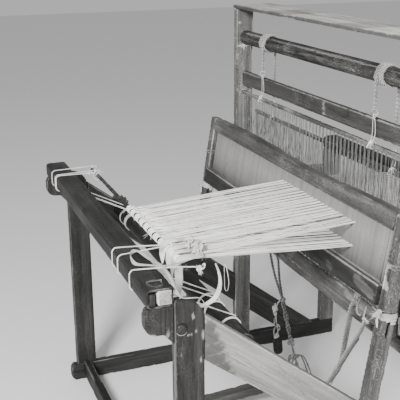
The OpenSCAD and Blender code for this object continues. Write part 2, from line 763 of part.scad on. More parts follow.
module pawl_hole(y, z, dir)
    bar_x(-outer_x - 1, -outer_x + pawl_pin_in, pawl_y(y, dir), pawl_z(z, dir), pawl_pin_d);

// A headed pin driven into the board beside each wheel
module pawl_pin(y, z, dir) {
    pin_end = ratchet_x - ratchet_t - end_gap;
    bar_x(pin_end - 3, -outer_x + pawl_pin_in, pawl_y(y, dir), pawl_z(z, dir), pawl_pin_d);
    bar_x(pin_end - 3, pin_end, pawl_y(y, dir), pawl_z(z, dir), pawl_pin_d + 6);
}

module pawl_pins() color("#6b5d4e") placed() {
    pawl_pin(cloth_y, cloth_z, cloth_pawl_dir);
    pawl_pin(warp_beam_y, warp_beam_z, warp_pawl_dir);
}

module ratchet_profile() polygon([for (i = [0:ratchet_teeth - 1], k = [0, 1])
    let (a = 360 * i / ratchet_teeth, r = k == 0 ? ratchet_d / 2 : ratchet_d / 2 - tooth_h)
    r * [cos(a + k * 2), sin(a + k * 2)]]);

module ratchet(y, z) along_x(ratchet_x - ratchet_t, ratchet_t) translate([y, z]) difference() {
    ratchet_profile();
    circle(d = journal_d);
}

// A pawl lies from its pin to the tips of the teeth
module pawl(y, z, dir) {
    length = pawl_reach - ratchet_d / 2 - pawl_tip_gap;
    along_x(ratchet_x - ratchet_t, ratchet_t) translate([pawl_y(y, dir), pawl_z(z, dir)])
        rotate(dir + 180) difference() {
        union() {
            circle(d = 20);
            polygon([[0, -9], [length, -4], [length, 2], [0, 9]]);
        }
        circle(d = pawl_pin_d + 2 * run_gap);
    }
}

module cloth_ratchet() color("#6b5d4e") placed() ratchet(cloth_y, cloth_z);
module warp_ratchet() color("#6b5d4e") placed() ratchet(warp_beam_y, warp_beam_z);
module cloth_pawl() color("#7a6a58") placed() pawl(cloth_y, cloth_z, cloth_pawl_dir);
module warp_pawl() color("#7a6a58") placed() pawl(warp_beam_y, warp_beam_z, warp_pawl_dir);

// A beam between the side frames with journals through them and a hub with bar holes outside the ratchet
hub_len = 22;
bar_hole_d = 9;

module turned_beam(y, z, d) difference() {
    hub_x = ratchet_x - ratchet_t;
    union() {
        bar_x(-inner_x + end_gap, inner_x - end_gap, y, z, d);
        bar_x(hub_x - hub_len, inner_x + journal_in, y, z, journal_d);
    }
    translate([hub_x - hub_len / 2, y - journal_d, z]) rotate([-90, 0, 0])
        cylinder(h = 2 * journal_d, d = bar_hole_d);
}

module cloth_beam() color("#2e2b27") placed() turned_beam(cloth_y, cloth_z, cloth_d);
module warp_beam() color("#3d3934") placed() turned_beam(warp_beam_y, warp_beam_z, warp_beam_d);

// Places of the apron cords as shares of the beam's length; the second and third are one doubled cord
apron_pair = 11;
far_pair_x = -0.3532 * beam_len;
apron_xs = concat(
    [-0.4011 * beam_len, far_pair_x, far_pair_x + apron_pair],
    beam_len * [0.2602, 0.3044, 0.3939]
);
wrap_r = cloth_d / 2 + apron_r;
// Direction from the cloth beam's axis at which the straight cords meet their turns
cord_land = 60;

module cloth_wraps() color("#e4dfd4") placed() for (x = apron_xs, k = [1, 2])
    hoop_x(x + k * apron_d, cloth_y, cloth_z, wrap_r, apron_r - 0.01);

module warp_roll() color("#d8d2c6") placed() difference() {
    bar_x(warp_x - 6, warp_x + warp_ends * warp_pitch + 6, warp_beam_y, warp_beam_z, warp_roll_d);
    bar_x(-inner_x, inner_x, warp_beam_y, warp_beam_z, warp_beam_d);
}

// Apron rod, its cords and the warp

module apron_rod() color("#8f8576") placed()
    bar_x(apron_xs[0] - 20, apron_xs[5] + 24, apron_rod_y, rod_z, apron_rod_d);

// From the rod over the breast beam, round its front and under it to the cloth beam's upper side
function apron_route(x) =
    let (top = beam_top_z + apron_r, low = beam_top_z - beam_h - apron_r,
        bend = beam_round + apron_r + soft_gap,
        land = [cloth_y, cloth_z] + wrap_r * [cos(cord_land), sin(cord_land)])
    [for (p = concat(
        [[apron_rod_y, top]],
        [[beam_d, top]],
        arc([beam_round, beam_top_z - beam_round], bend, 90, 180, 4),
        arc([beam_round, beam_top_z - beam_h + beam_round], bend, 180, 270, 4),
        [[beam_d - 4, low]],
        [land])) [x, p[0], p[1]]];

module apron_cords() color("#e4dfd4") placed() for (x = apron_xs) tube(apron_route(x), apron_r - 0.05);

// Warp ends are tied to the rod in bunches
bunch_w = 34;
bunch_d = apron_rod_d + 8;

module warp_bunches() color("#d8d2c6") placed() for (i = [0:2:warp_ends - 2]) difference() {
    x = warp_x + (i + 0.75) * warp_pitch;
    bar_x(x - bunch_w / 2, x + bunch_w / 2, apron_rod_y, rod_z, bunch_d);
    bar_x(x - bunch_w, x + bunch_w, apron_rod_y, rod_z, apron_rod_d);
    for (a = apron_xs) translate([a - apron_r - soft_gap, apron_rod_y - apron_rod_d * 2, rod_z - apron_rod_d])
        cube([apron_d + 2 * soft_gap, apron_rod_d * 4, apron_rod_d * 2]);
}

// One warp end from its bunch through reed and eye, over the back beam and down to the warp beam
function warp_route(x, eye_y, eye_z) = let (
    back = rear_back_y + warp_r + soft_gap,
    over = beam_top_z + warp_r + soft_gap,
    start_y = apron_rod_y + bunch_d / 2 + soft_gap,
    cut = beam_round * 0.29
) [
    [x, start_y, rod_z],
    [x, eye_y, eye_z],
    [x, rear_y + beam_round, over],
    [x, rear_back_y - beam_round, over],
    [x, back - cut, over - cut],
    [x, back, beam_top_z - beam_round],
    [x, back, warp_beam_z]
];

module warp_layer(offset, eye_y, eye_z) for (i = [0:warp_ends - 1])
    tube(warp_route(warp_x + offset + i * warp_pitch, eye_y, eye_z), warp_r, 6);

module warp_front() color("#efebe2") placed() warp_layer(0, front_shaft_y, front_eye_z);
module warp_back() color("#e4dfd4") placed() warp_layer(reed_pitch, back_shaft_y, back_eye_z);

sill(LEFT);  // sill_left
sill(RIGHT);  // sill_right
front_post(LEFT);  // front_post_left
front_post(RIGHT);  // front_post_right
side_rail(LEFT);  // side_rail_left
side_rail(RIGHT);  // side_rail_right
castle_post(LEFT);  // castle_post_left
castle_post(RIGHT);  // castle_post_right
rear_post(LEFT);  // rear_post_left
rear_post(RIGHT);  // rear_post_right
rear_side_rails();
castle_board();
cross_rail();
breast_beam();
beam_brackets();
beam_end_blocks();
beam_staple();
back_beam();
front_stretcher();
rear_stretcher();
joint_pegs();
post_plugs();
pawl_pins();
batten_pins();
treadle_mount();
apron_rod();
apron_cords();
warp_bunches();
warp_front();
warp_back();
sword(LEFT);  // sword_left
sword(RIGHT);  // sword_right
hand_tree();
race_board();
reed();
rag_lashings();
lift_roller();
roller_wraps();
front_heddle_bar();
front_foot_bar();
front_stiles();
front_heddles();
front_hangers();
front_tie_rope();
back_heddle_bar();
back_foot_bar();
back_stiles();
back_heddles();
back_hangers();
back_tie_rope();
right_treadle();
left_treadle();
cloth_beam();
cloth_wraps();
cloth_ratchet();
cloth_pawl();
warp_beam();
warp_roll();
warp_ratchet();
warp_pawl();
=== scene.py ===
"""Two-shaft treadle floor loom: weathered wood, iron, string heddles, reed, ropes and warp."""

import json
import math

import bmesh
import bpy
import numpy as np
from mathutils import Matrix, Vector

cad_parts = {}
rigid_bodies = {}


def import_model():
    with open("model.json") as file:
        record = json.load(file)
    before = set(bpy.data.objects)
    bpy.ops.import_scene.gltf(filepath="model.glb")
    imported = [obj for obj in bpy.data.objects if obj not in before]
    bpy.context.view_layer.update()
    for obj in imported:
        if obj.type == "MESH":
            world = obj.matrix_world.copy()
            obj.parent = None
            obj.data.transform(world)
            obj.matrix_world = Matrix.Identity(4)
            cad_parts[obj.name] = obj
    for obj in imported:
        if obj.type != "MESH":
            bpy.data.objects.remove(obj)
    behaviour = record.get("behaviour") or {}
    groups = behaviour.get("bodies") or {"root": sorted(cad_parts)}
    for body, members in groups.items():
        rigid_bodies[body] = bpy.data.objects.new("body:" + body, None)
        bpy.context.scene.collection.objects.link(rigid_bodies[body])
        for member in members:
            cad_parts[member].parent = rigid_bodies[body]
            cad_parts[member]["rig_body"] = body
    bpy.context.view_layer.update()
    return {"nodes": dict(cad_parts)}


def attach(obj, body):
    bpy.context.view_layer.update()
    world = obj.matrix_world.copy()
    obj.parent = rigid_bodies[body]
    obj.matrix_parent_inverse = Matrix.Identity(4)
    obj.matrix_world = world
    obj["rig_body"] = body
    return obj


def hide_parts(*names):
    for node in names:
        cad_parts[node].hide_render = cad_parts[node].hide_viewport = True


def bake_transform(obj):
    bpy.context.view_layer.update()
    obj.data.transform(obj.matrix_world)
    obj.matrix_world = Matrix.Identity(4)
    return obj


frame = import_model()
BODY = {name: piece["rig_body"] for name, piece in frame["nodes"].items()}

TURN = 2 * math.pi
X, Y, Z = (1, 0, 0), (0, 1, 0), (0, 0, 1)
# Lean of the batten's swords and slope of the side rails
LEAN = math.radians(9)
RAIL = math.radians(37.5)
ALONG_SWORD = (0, math.sin(LEAN), math.cos(LEAN))
ALONG_RAIL = (0, math.cos(RAIL), -math.sin(RAIL))
# Where the swords are hinged, in millimetres
PIVOT_Y, PIVOT_Z = 480, 32
# Distance from the breast beam's face to the origin, in metres
MID_Y = 0.54335


def mm(points):
    """Points in millimetres from the breast beam's face and the floor, in metres from the origin."""
    return np.asarray(points, float) / 1000 - np.array([0, MID_Y, 0])


def in_batten(points):
    """Points across, behind and up the batten's swords, in millimetres as mm takes them."""
    x, y, z = np.moveaxis(np.asarray(points, float), -1, 0)
    c, s = math.cos(LEAN), math.sin(LEAN)
    return np.stack([x, PIVOT_Y + y * c + z * s, PIVOT_Z - y * s + z * c], -1)


def add_object(name, data):
    made = bpy.data.objects.new(name, data)
    bpy.context.scene.collection.objects.link(made)
    return made


# Materials, each with its slot and the worn nodes that have it
SLOTS, FINISH, GRAIN = {}, {}, {}


def new_material(name, slot=None, nodes=""):
    mat = bpy.data.materials.new(name)
    mat.use_nodes = True
    SLOTS[mat] = slot
    FINISH.update(dict.fromkeys(nodes.split(), mat))
    return mat, mat.node_tree, mat.node_tree.nodes["Principled BSDF"]


def node(tree, kind, inputs=None, **settings):
    """A new shader node; an input is a value or another node's socket."""
    made = tree.nodes.new(kind)
    for key, value in settings.items():
        setattr(made, key, value)
    for key, value in (inputs or {}).items():
        if isinstance(value, bpy.types.NodeSocket):
            tree.links.new(value, made.inputs[key])
        else:
            made.inputs[key].default_value = value
    return made


def noise(tree, at, scale, detail, rough=0.5, swirl=0):
    settings = {"Vector": at, "Scale": scale, "Detail": detail, "Roughness": rough, "Distortion": swirl}
    return node(tree, "ShaderNodeTexNoise", settings).outputs["Fac"]


def reckon(tree, a, operation, b):
    return node(tree, "ShaderNodeMath", {0: a, 1: b}, operation=operation).outputs[0]


def stored(tree, key):
    """A value that the mesh keeps for each of its points."""
    return node(tree, "ShaderNodeAttribute", attribute_name=key).outputs["Fac"]


def object_coords(tree):
    return node(tree, "ShaderNodeTexCoord").outputs["Object"]


def grey(level):
    """A grey of that linear level with a trace of brown."""
    return (level * 1.02, level, level * 0.974)


def ramp(tree, factor, *stops):
    """A ramp over the factor; each stop is a place and a level or colour."""
    made = node(tree, "ShaderNodeValToRGB", {0: factor})
    band = made.color_ramp
    while len(band.elements) < len(stops):
        band.elements.new(0.5)
    for element, (place, level) in zip(band.elements, stops):
        element.position = place
        colour = level if isinstance(level, tuple) else (level,) * 3
        element.color = (*colour, 1)
    return made.outputs[0]


def covered(tree, base, cover, level):
    """The base colour with a grey of that level over it, as far as the cover goes."""
    inputs = {0: cover, 6: base, 7: (*grey(level), 1)}
    return node(tree, "ShaderNodeMix", inputs, data_type="RGBA").outputs[2]


def connect(tree, shader, base, rough, height, relief, depth):
    """Joins colour, roughness and relief to the shader; depth is in metres."""
    tree.links.new(base, shader.inputs["Base Color"])
    tree.links.new(rough, shader.inputs["Roughness"])
    bump = node(tree, "ShaderNodeBump", {"Strength": relief, "Distance": depth, "Height": height})
    tree.links.new(bump.outputs[0], shader.inputs["Normal"])


def turned_to(grain):
    """The turn that brings the grain's direction onto the X axis."""
    return Vector(grain).normalized().rotation_difference(Vector(X))


def wood(name, slot, nodes, grain, dark, mid, pale, rough, relief=0.5, cracks=0.5, specks=0.2):
    """Old wood in three greys, with fibres and cracks along the grain, stains, specks, dirt and wear; the
    stored tone also carries painted shade and shadow, and the stored wear painted light.
    """
    mat, tree, shader = new_material(name, slot, nodes)
    GRAIN.update(dict.fromkeys(nodes.split(), grain))
    coords = object_coords(tree)
    turned = node(tree, "ShaderNodeMapping", {"Vector": coords, "Rotation": turned_to(grain).to_euler()})

    def along_grain(scale):
        return node(tree, "ShaderNodeMapping", {"Vector": turned.outputs[0], "Scale": scale}).outputs[0]

    fibre = noise(tree, along_grain((3, 45, 45)), 1, 6, 0.62, 0.5)
    fine = noise(tree, along_grain((9, 260, 260)), 1, 3, 0.6)
    split = noise(tree, along_grain((2.2, 38, 38)), 1, 3, 0.5, 0.25)
    patch = noise(tree, coords, 9, 5, 0.6)
    speck = reckon(tree, noise(tree, coords, 270, 2, 0.7), "MULTIPLY", patch)
    worn = reckon(tree, stored(tree, "wear_and_light"), "MULTIPLY", fibre)
    crack = reckon(tree, ramp(tree, split, (0.485, 0), (0.499, 1), (0.513, 0)), "MULTIPLY", cracks)
    base = ramp(tree, fibre, (0.28, grey(dark)), (0.5, grey(mid)), (0.78, grey(pale)))
    for factor, low, high, level in (
        (fine, (0.3, 0.42), (0.65, 0), dark * 0.6),
        (patch, (0.45, 0), (0.72, 0.5), dark * 0.8),
        (patch, (0.26, 0.35), (0.42, 0), pale * 1.1),
        (speck, (0.29, 0), (0.42, specks), min(0.6, pale * 2.2)),
        (speck, (0.16, specks), (0.22, 0), dark * 0.5),
        # Darker by the stored tone: dirt, hollows, and painted shade and shadow.
        (stored(tree, "tone"), (0, 0), (1, 0.85), dark * 0.4),
        # Paler by the stored wear: worn edges, and painted light and highlights.
        (worn, (0.08, 0), (0.55, 0.9), min(0.6, 0.12 + pale * 2)),
    ):
        base = covered(tree, base, ramp(tree, factor, low, high), level)
    base = covered(tree, base, crack, dark * 0.25)
    height = reckon(tree, reckon(tree, fibre, "ADD", fine), "SUBTRACT", crack)
    shader.inputs["Specular IOR Level"].default_value = 0.16
    gloss = ramp(tree, patch, (0.3, rough + 0.14), (0.7, rough - 0.14))
    connect(tree, shader, base, gloss, height, relief, 0.0012)
    return mat


def iron(name, nodes, dark, mid, pale):
    """Rusty iron in three greys, palest where it is worn."""
    mat, tree, shader = new_material(name, "iron", nodes)
    coords = object_coords(tree)
    coarse = noise(tree, coords, 90, 6)
    base = ramp(tree, coarse, (0.3, grey(dark)), (0.52, grey(mid)), (0.75, grey(pale)))
    base = covered(tree, base, ramp(tree, stored(tree, "wear_and_light"), (0.2, 0), (0.8, 0.7)), pale * 1.6)
    shader.inputs["Metallic"].default_value = 0.55
    rough = ramp(tree, coarse, (0.3, 0.45), (0.7, 0.8))
    connect(tree, shader, base, rough, noise(tree, coords, 600, 4), 0.5, 0.0004)
    return mat


def cotton(name, dark, pale):
    """Soiled cotton with a fuzzy face, darker where the tone says so, which on ropes includes painted shade
    in their grooves.
    """
    mat, tree, shader = new_material(name, "cotton_cord")
    coords = object_coords(tree)
    fuzz = noise(tree, coords, 900, 3)
    base = ramp(tree, noise(tree, coords, 22, 5), (0.3, grey(dark)), (0.62, grey(pale)))
    base = covered(tree, base, ramp(tree, fuzz, (0.3, 0.45), (0.7, 0)), dark * 0.55)
    base = covered(tree, base, ramp(tree, stored(tree, "tone"), (0, 0), (1, 0.85)), dark * 0.3)
    shader.inputs["Sheen Weight"].default_value = 0.25
    connect(tree, shader, base, ramp(tree, fuzz, (0.2, 0.8), (0.8, 0.9)), fuzz, 0.5, 0.0003)
    return mat


wood("beam_wood", "dark_wood", "breast_beam", X, 0.005, 0.015, 0.045, 0.5, 0.8)
wood("dark_cross_wood", "dark_wood", "back_beam front_stretcher rear_stretcher cloth_beam warp_beam", X,
     0.007, 0.018, 0.04, 0.6)
wood("cross_rail_wood", "dark_wood", "cross_rail", X, 0.022, 0.05, 0.1, 0.6, 0.6, 0.5, 0.4)
mat_post = wood("post_wood", "dark_wood", "front_post_left front_post_right beam_brackets post_plugs", Z,
                0.01, 0.026, 0.058, 0.5, 0.7, 0.5, 0.3)
wood("castle_wood", "dark_wood", "castle_post_left castle_post_right rear_post_left rear_post_right", Z,
     0.045, 0.13, 0.26, 0.6, 0.6, 0.5, 0.5)
# The two side rails are one wood: the near one is painted paler, as lit, and the far one darker, as in
# shade.
wood("rail_wood", "aged_wood", "side_rail_right", ALONG_RAIL, 0.12, 0.24, 0.38, 0.6, 0.7, 0.4)
wood("shaded_rail_wood", "aged_wood", "side_rail_left", ALONG_RAIL, 0.015, 0.035, 0.07, 0.6, 0.6, 0.5)
mat_sill = wood("sill_wood", "dark_wood", "sill_left sill_right rear_side_rails", Y, 0.012, 0.03, 0.06, 0.7)
wood("treadle_wood", "aged_wood", "treadle_mount right_treadle left_treadle", Y, 0.03, 0.07, 0.13, 0.55)
wood("sword_wood", "aged_wood", "sword_left sword_right", ALONG_SWORD, 0.025, 0.08, 0.17, 0.5, 0.7, 0.6, 0.5)
wood("hand_tree_wood", "dark_wood", "hand_tree", X, 0.018, 0.07, 0.16, 0.4, 0.8, 0.35, 0.6)
wood("race_wood", "dark_wood", "race_board apron_rod", X, 0.008, 0.022, 0.05, 0.45)
wood("castle_board_wood", "aged_wood", "castle_board", X, 0.07, 0.15, 0.26, 0.6)
wood("pale_lath", "pale_wood", "front_heddle_bar back_heddle_bar", X, 0.025, 0.06, 0.11, 0.6, 0.5, 0.3)
wood("pale_stile", "pale_wood", "front_stiles back_stiles", Z, 0.08, 0.17, 0.28, 0.6, 0.4, 0.2)
wood("foot_bar_wood", "pale_wood", "front_foot_bar back_foot_bar", X, 0.03, 0.09, 0.19, 0.6, 0.5, 0.3, 0.4)
mat_block = wood("end_block_wood", "pale_wood", "beam_end_blocks joint_pegs", X, 0.16, 0.3, 0.45, 0.6, 0.8)
wood("roller_wood", "aged_wood", "lift_roller", X, 0.012, 0.04, 0.12, 0.7, 1, 0.9, 0.9)
mat_cane = wood("reed_cane", "reed_cane", "", ALONG_SWORD, 0.15, 0.2, 0.24, 0.55, 0.2, 0)
iron("rusty_iron", "beam_staple pawl_pins batten_pins cloth_ratchet cloth_pawl warp_ratchet warp_pawl",
     0.03, 0.09, 0.22)
# Its pale greys are worn steel and also a painted highlight on the lifting rings.
mat_steel = iron("worn_and_glinting_steel", "", 0.14, 0.32, 0.52)
mat_rope = cotton("old_rope", 0.2, 0.5)
mat_tie = cotton("tie_rope", 0.06, 0.28)
mat_cord = cotton("cotton_cord", 0.55, 0.85)
mat_string = cotton("heddle_string", 0.03, 0.14)
mat_warp = cotton("warp_cotton", 0.75, 0.95)
mat_rag = cotton("rag_cloth", 0.34, 0.68)


def finish_piece(mesh, name, mat, replaced, body):
    """Makes an object of the mesh, gives it its material and puts it on its body."""
    mesh.materials.clear()
    mesh.materials.append(mat)
    mesh.polygons.foreach_set("use_smooth", [True] * len(mesh.polygons))
    piece = add_object(name, mesh)
    if body:
        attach(piece, body)
    if replaced:
        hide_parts(*replaced)
    return piece


def averages(co, edges):
    """Each point's mean of the points that an edge joins to it."""
    total = np.zeros_like(co)
    count = np.zeros(len(co))
    for a, b in ((0, 1), (1, 0)):
        np.add.at(total, edges[:, a], co[edges[:, b]])
        np.add.at(count, edges[:, a], 1)
    return total / np.maximum(count, 1)[:, None]


def value_noise(points, seed):
    """Smooth random values from -1 to 1 at the points, one lattice cell a unit."""
    cell = np.floor(points).astype(np.int64)
    part = points - cell
    part = part * part * (3 - 2 * part)
    total = np.zeros(len(points))
    for corner in np.ndindex(2, 2, 2):
        at = cell + np.array(corner)
        h = (at[:, 0] * 73856093) ^ (at[:, 1] * 19349663) ^ (at[:, 2] * 83492791) ^ (seed * 668265263)
        h = (h & 0xFFFFFFF) * 1103515245 + 12345
        h = ((h >> 8) ^ (h >> 19)) & 0xFFFF
        total += np.prod(np.where(corner, part, 1 - part), axis=1) * (h / 32767.5 - 1)
    return total


def fractal(points, seed):
    """Three layers of noise, each finer and weaker than the last, from -1 to 1."""
    return sum(value_noise(points * 2 ** k, seed + k) / 2 ** k for k in range(3)) / 1.75


def near_line(co, a, b):
    """Distance of each point from the line between a and b."""
    along = b - a
    t = np.clip(((co - a) @ along) / max(along @ along, 1e-12), 0, 1)
    return np.linalg.norm(co - a - t[:, None] * along, axis=1)


# Worn and dirty marks seen on single pieces, in millimetres: from, to, radius and strength; a few pale ones
# are painted highlight and a few dark ones painted shade and shadow.
# Those on the batten's pieces are placed along its swords.
SIDE = 558
WEAR_AND_LIGHT = {
    "front_post_right": [
        ((SIDE, 103, 731), (SIDE, 104, 723), 3.5, 1), ((SIDE, 127, 688), (SIDE, 127, 672), 4, 1),
        ((SIDE, 91, 684), (SIDE, 99, 685), 2.2, 0.9), ((SIDE, 109, 691), (SIDE, 110, 690), 2.2, 0.9),
        ((SIDE, 75, 640), (SIDE, 76, 639), 1.6, 0.9), ((SIDE, 120, 622), (SIDE, 122, 615), 2, 0.9),
        ((550, 62, 772), (550, 62, 60), 7.5, 0.55),
    ],
    "front_post_left": [((-530, 62, 772), (-530, 62, 60), 4, 0.4)],
    "castle_post_left": [
        ((-SIDE, 668, 560), (-SIDE, 668, 1274), 3.5, 0.8), ((-530, 668, 1150), (-530, 729, 1150), 1.8, 1),
        ((-530, 668, 1148), (-530, 668, 1274), 2, 0.5),
    ],
    "cross_rail": [
        ((-530, 688, 1065), (530, 688, 1065), 3.2, 0.75), ((48, 688, 1062), (47, 688, 1024), 1.8, 0.9),
    ],
    "race_board": [
        ((-SIDE, -27, 700), (SIDE, -27, 700), 5, 1), ((-SIDE, -14, 700), (SIDE, -14, 700), 4.5, 1),
        ((330, -27, 672), (350, -27, 664), 12, 0.3), ((470, -27, 680), (540, -27, 668), 16, 0.4),
    ],
    "sword_right": [((562, -15, 750), (564, -15, 700), 8, 1), ((564, -15, 720), (578, -15, 700), 9, 1)],
    "sword_left": [((-561, -15, 860), (-561, -15, 690), 3.5, 0.7)],
    "breast_beam": [
        (*((520 + 19 * math.cos(a), 31 + 15 * math.sin(a), 800) for a in (q, q + 0.5)), 2.5, 0.4)
        for q in np.arange(0, 6.2, 0.5)
    ],
    # A painted highlight: the pale line along the roller's top.
    "lift_roller": [((-490, 685, 1196), (490, 684, 1196), 4, 0.5)],
    "beam_brackets": [((553, 12, 694), (553, 50, 671), 6, 0.9), ((553, 36, 676), (553, 48, 690), 5, 0.7)],
    "front_foot_bar": [
        ((250, 668, 560), (330, 668, 545), 14, 0.3), ((430, 668, 540), (470, 668, 556), 16, 0.35),
    ],
}
DIRT_AND_SHADE = {
    # Painted shade: a dark patch round the peg's end.
    "front_post_right": [((SIDE, 79, 701), (SIDE, 79, 701), 14.5, 0.35)],
    # Painted shadow: the post's cast shadow on the rail, a dark band that widens downward.
    "side_rail_right": [
        ((SIDE, 131, 690 - 26 * k), (SIDE, 139 + 9.5 * k, 690 - 26 * k), 21, 0.95) for k in range(7)
    ],
    "front_foot_bar": [((-60, 668, 545), (140, 668, 545), 12, 0.2)],
}


def read_rows(items, key):
    values = np.empty(len(items) * 3)
    items.foreach_get(key, values)
    return values.reshape(-1, 3)


def changed(holder, **options):
    """The mesh that the holder's modifier makes; the holder goes."""
    graph = bpy.context.evaluated_depsgraph_get()
    made = bpy.data.meshes.new_from_object(holder.evaluated_get(graph), depsgraph=graph, **options)
    bpy.data.objects.remove(holder)
    return made


def fine_copy(source, voxel):
    """The CAD mesh in small even faces."""
    mesh = source.data.copy()
    shape = bmesh.new()
    shape.from_mesh(mesh)
    bmesh.ops.remove_doubles(shape, verts=shape.verts, dist=1e-6)
    shape.to_mesh(mesh)
    shape.free()
    holder = add_object("holder", mesh)
    remesh = holder.modifiers.new("fine", "REMESH")
    remesh.mode = "VOXEL"
    remesh.voxel_size = voxel
    return changed(holder)


def lighter(mesh, marked):
    """The mesh with two in five of its triangles, taken away first where it is unmarked."""
    holder = add_object("holder", mesh)
    plain = holder.vertex_groups.new(name="plain")
    for level, chosen in ((1, marked < 0.08), (0.08, marked >= 0.08)):
        plain.add(np.nonzero(chosen)[0].tolist(), level, "REPLACE")
    less = holder.modifiers.new("less", "DECIMATE")
    less.ratio = 0.4
    less.vertex_group = plain.name
    return changed(holder, preserve_all_data_layers=True)


# Above this number of points a worn piece is made lighter
MANY_POINTS = 4000
# The castle board is a row of planks
BOARD_END, PLANK = 0.558, 0.138


def aged(name, voxel, seed, waves, chips):
    """A worn copy of a CAD node: chipped edges, an uneven face along the grain, pale and dirty marks, darker
    hollows, and painted light and shade where the marks and the castle board's faces call for them.
    """
    fine = fine_copy(frame["nodes"][name], voxel)
    grain = X if name in ACROSS else GRAIN.get(name, X)
    edges = np.empty(len(fine.edges) * 2, int)
    fine.edges.foreach_get("vertices", edges)
    edges = edges.reshape(-1, 2)
    co = read_rows(fine.vertices, "co")
    co = co * 0.65 + averages(co, edges) * 0.35
    fine.vertices.foreach_set("co", co.ravel())
    fine.update()
    normals = read_rows(fine.vertex_normals, "vector")
    smooth = averages(averages(averages(co, edges), edges), edges)
    bulge = ((co - smooth) * normals).sum(1) / voxel * 3
    edge = np.clip(bulge, 0, 1)
    at = co @ np.array(turned_to(grain).to_matrix()).T
    soft = fractal(at * (6, 40, 40), seed)
    bite = fractal(at * (55, 110, 110), seed + 9)
    patch = fractal(at * (7, 18, 18), seed + 17)
    blur = 1 + 0.5 * fractal(co * 160, seed + 31) + 0.35 * soft
    depth = waves * (soft - 0.35) - edge * chips * np.clip(bite * 2.6 - 0.35 + patch * 0.6, 0, 1)
    wear_and_light = edge * np.clip(0.22 + patch * 1.5 + bite * 0.5, 0, 1)
    tone = np.clip(-bulge, 0, 1) * 0.5
    if name == "hand_tree":
        wear_and_light *= 0.35
    place = in_batten if BODY[name] == "batten" else np.array
    for marks, values in ((WEAR_AND_LIGHT, wear_and_light), (DIRT_AND_SHADE, tone)):
        for start, end, radius, strength in marks.get(name, []):
            reach = near_line(co, mm(place(start)), mm(place(end))) * 1000 / radius
            np.maximum(values, strength * np.clip(2.2 - 2 * reach * blur, 0, 1), out=values)
    if name == "castle_board":
        planks = (co[:, 0] + BOARD_END) / PLANK
        seam = np.abs(planks - np.round(planks)) < 0.012
        # The top faces are painted paler plank by plank, as light falling on them, and the front face
        # painted darker, as shade; the seams on top are dark joints.
        top = np.clip(normals[:, 2] * 3 - 1.6, 0, 1)
        front = np.clip(-normals[:, 1] * 3 - 1.6, 0, 1)
        pale = top * (0.62 + 0.2 * np.sin(np.floor(planks) * 2.3) + 0.3 * soft)
        wear_and_light = np.maximum(wear_and_light, pale) * (1 - front)
        tone = np.maximum(np.maximum(tone, top * seam * 0.6), front * 0.75)
    co = co + normals * depth[:, None]
    fine.vertices.foreach_set("co", co.ravel())
    for key, values in (("wear_and_light", wear_and_light), ("tone", tone)):
        made = fine.attributes.new(key, "FLOAT", "POINT")
        made.data.foreach_set("value", np.clip(values, 0, 1))
    if len(fine.vertices) > MANY_POINTS:
        fine = lighter(fine, np.maximum(wear_and_light, tone))
    return finish_piece(fine, "worn_" + name, FINISH[name], [name], BODY[name])


# Size of the faces of each worn piece, in millimetres
WORN = {
    "breast_beam": 2.5, "beam_brackets": 2.5, "front_post_left": 3, "front_post_right": 2,
    "side_rail_left": 3, "side_rail_right": 3, "castle_post_left": 3, "castle_post_right": 4,
    "rear_post_left": 5, "rear_post_right": 5, "rear_side_rails": 5, "castle_board": 3, "cross_rail": 3,
    "back_beam": 5, "front_stretcher": 4, "rear_stretcher": 5, "sill_left": 5, "sill_right": 5,
    "hand_tree": 3, "race_board": 3, "sword_left": 3, "sword_right": 2.5, "lift_roller": 3,
    "right_treadle": 4, "left_treadle": 4, "cloth_beam": 3, "warp_beam": 5, "front_heddle_bar": 3,
    "back_heddle_bar": 3, "front_foot_bar": 4, "back_foot_bar": 4, "front_stiles": 3, "back_stiles": 3,
    "beam_end_blocks": 3, "apron_rod": 2, "treadle_mount": 2.5, "post_plugs": 1.5, "joint_pegs": 1.2,
}
WORN_IRON = {
    "beam_staple": 0.9, "cloth_ratchet": 1.5, "cloth_pawl": 1.5, "warp_ratchet": 1.5, "warp_pawl": 1.5,
    "pawl_pins": 1.2, "batten_pins": 1.5,
}
# Pieces whose grain lies across that of their finish, and round ones that turn close to others
ACROSS = ("treadle_mount", "post_plugs")
CALM = ("cloth_beam", "warp_beam", "lift_roller")
for i, (name, size) in enumerate(WORN.items()):
    waves, chips = (0.00015, 0.0008) if name in CALM else (0.0004, 0.003)
    aged(name, size / 1000, i * 37, waves, chips)
for i, (name, size) in enumerate(WORN_IRON.items()):
    aged(name, size / 1000, i * 51, 0.00015, 0.0003)


# Yarn, cord and rope, all in millimetres
def resample(path, step):
    path = np.asarray(path, float)
    gaps = np.linalg.norm(np.diff(path, axis=0), axis=1)
    along = np.concatenate([[0], np.cumsum(gaps)])
    count = max(2, int(round(along[-1] / step)) + 1)
    at = np.linspace(0, along[-1], count)
    return np.stack([np.interp(at, along, path[:, k]) for k in range(3)], 1)


def curve(points, step=2):
    """A smooth course through the points, evenly stepped."""
    p = np.asarray(points, float)
    p = np.vstack([2 * p[0] - p[1], p, 2 * p[-1] - p[-2]])
    out = []
    t = np.linspace(0, 1, 17)[:-1, None]
    for i in range(1, len(p) - 2):
        a, b, c, d = p[i - 1], p[i], p[i + 1], p[i + 2]
        out.append(0.5 * (2 * b + (c - a) * t + (2 * a - 5 * b + 4 * c - d) * t ** 2
                          + (3 * b - a - 3 * c + d) * t ** 3))
    out.append(p[-2][None])
    return resample(np.vstack(out), step)


def around(count):
    return np.arange(count) * TURN / count


def oval(centre, across, up, angles):
    """Points at the angles of an ellipse with those two half-axes."""
    q = np.asarray(angles)[:, None]
    return np.asarray(centre, float) + np.cos(q) * across + np.sin(q) * up


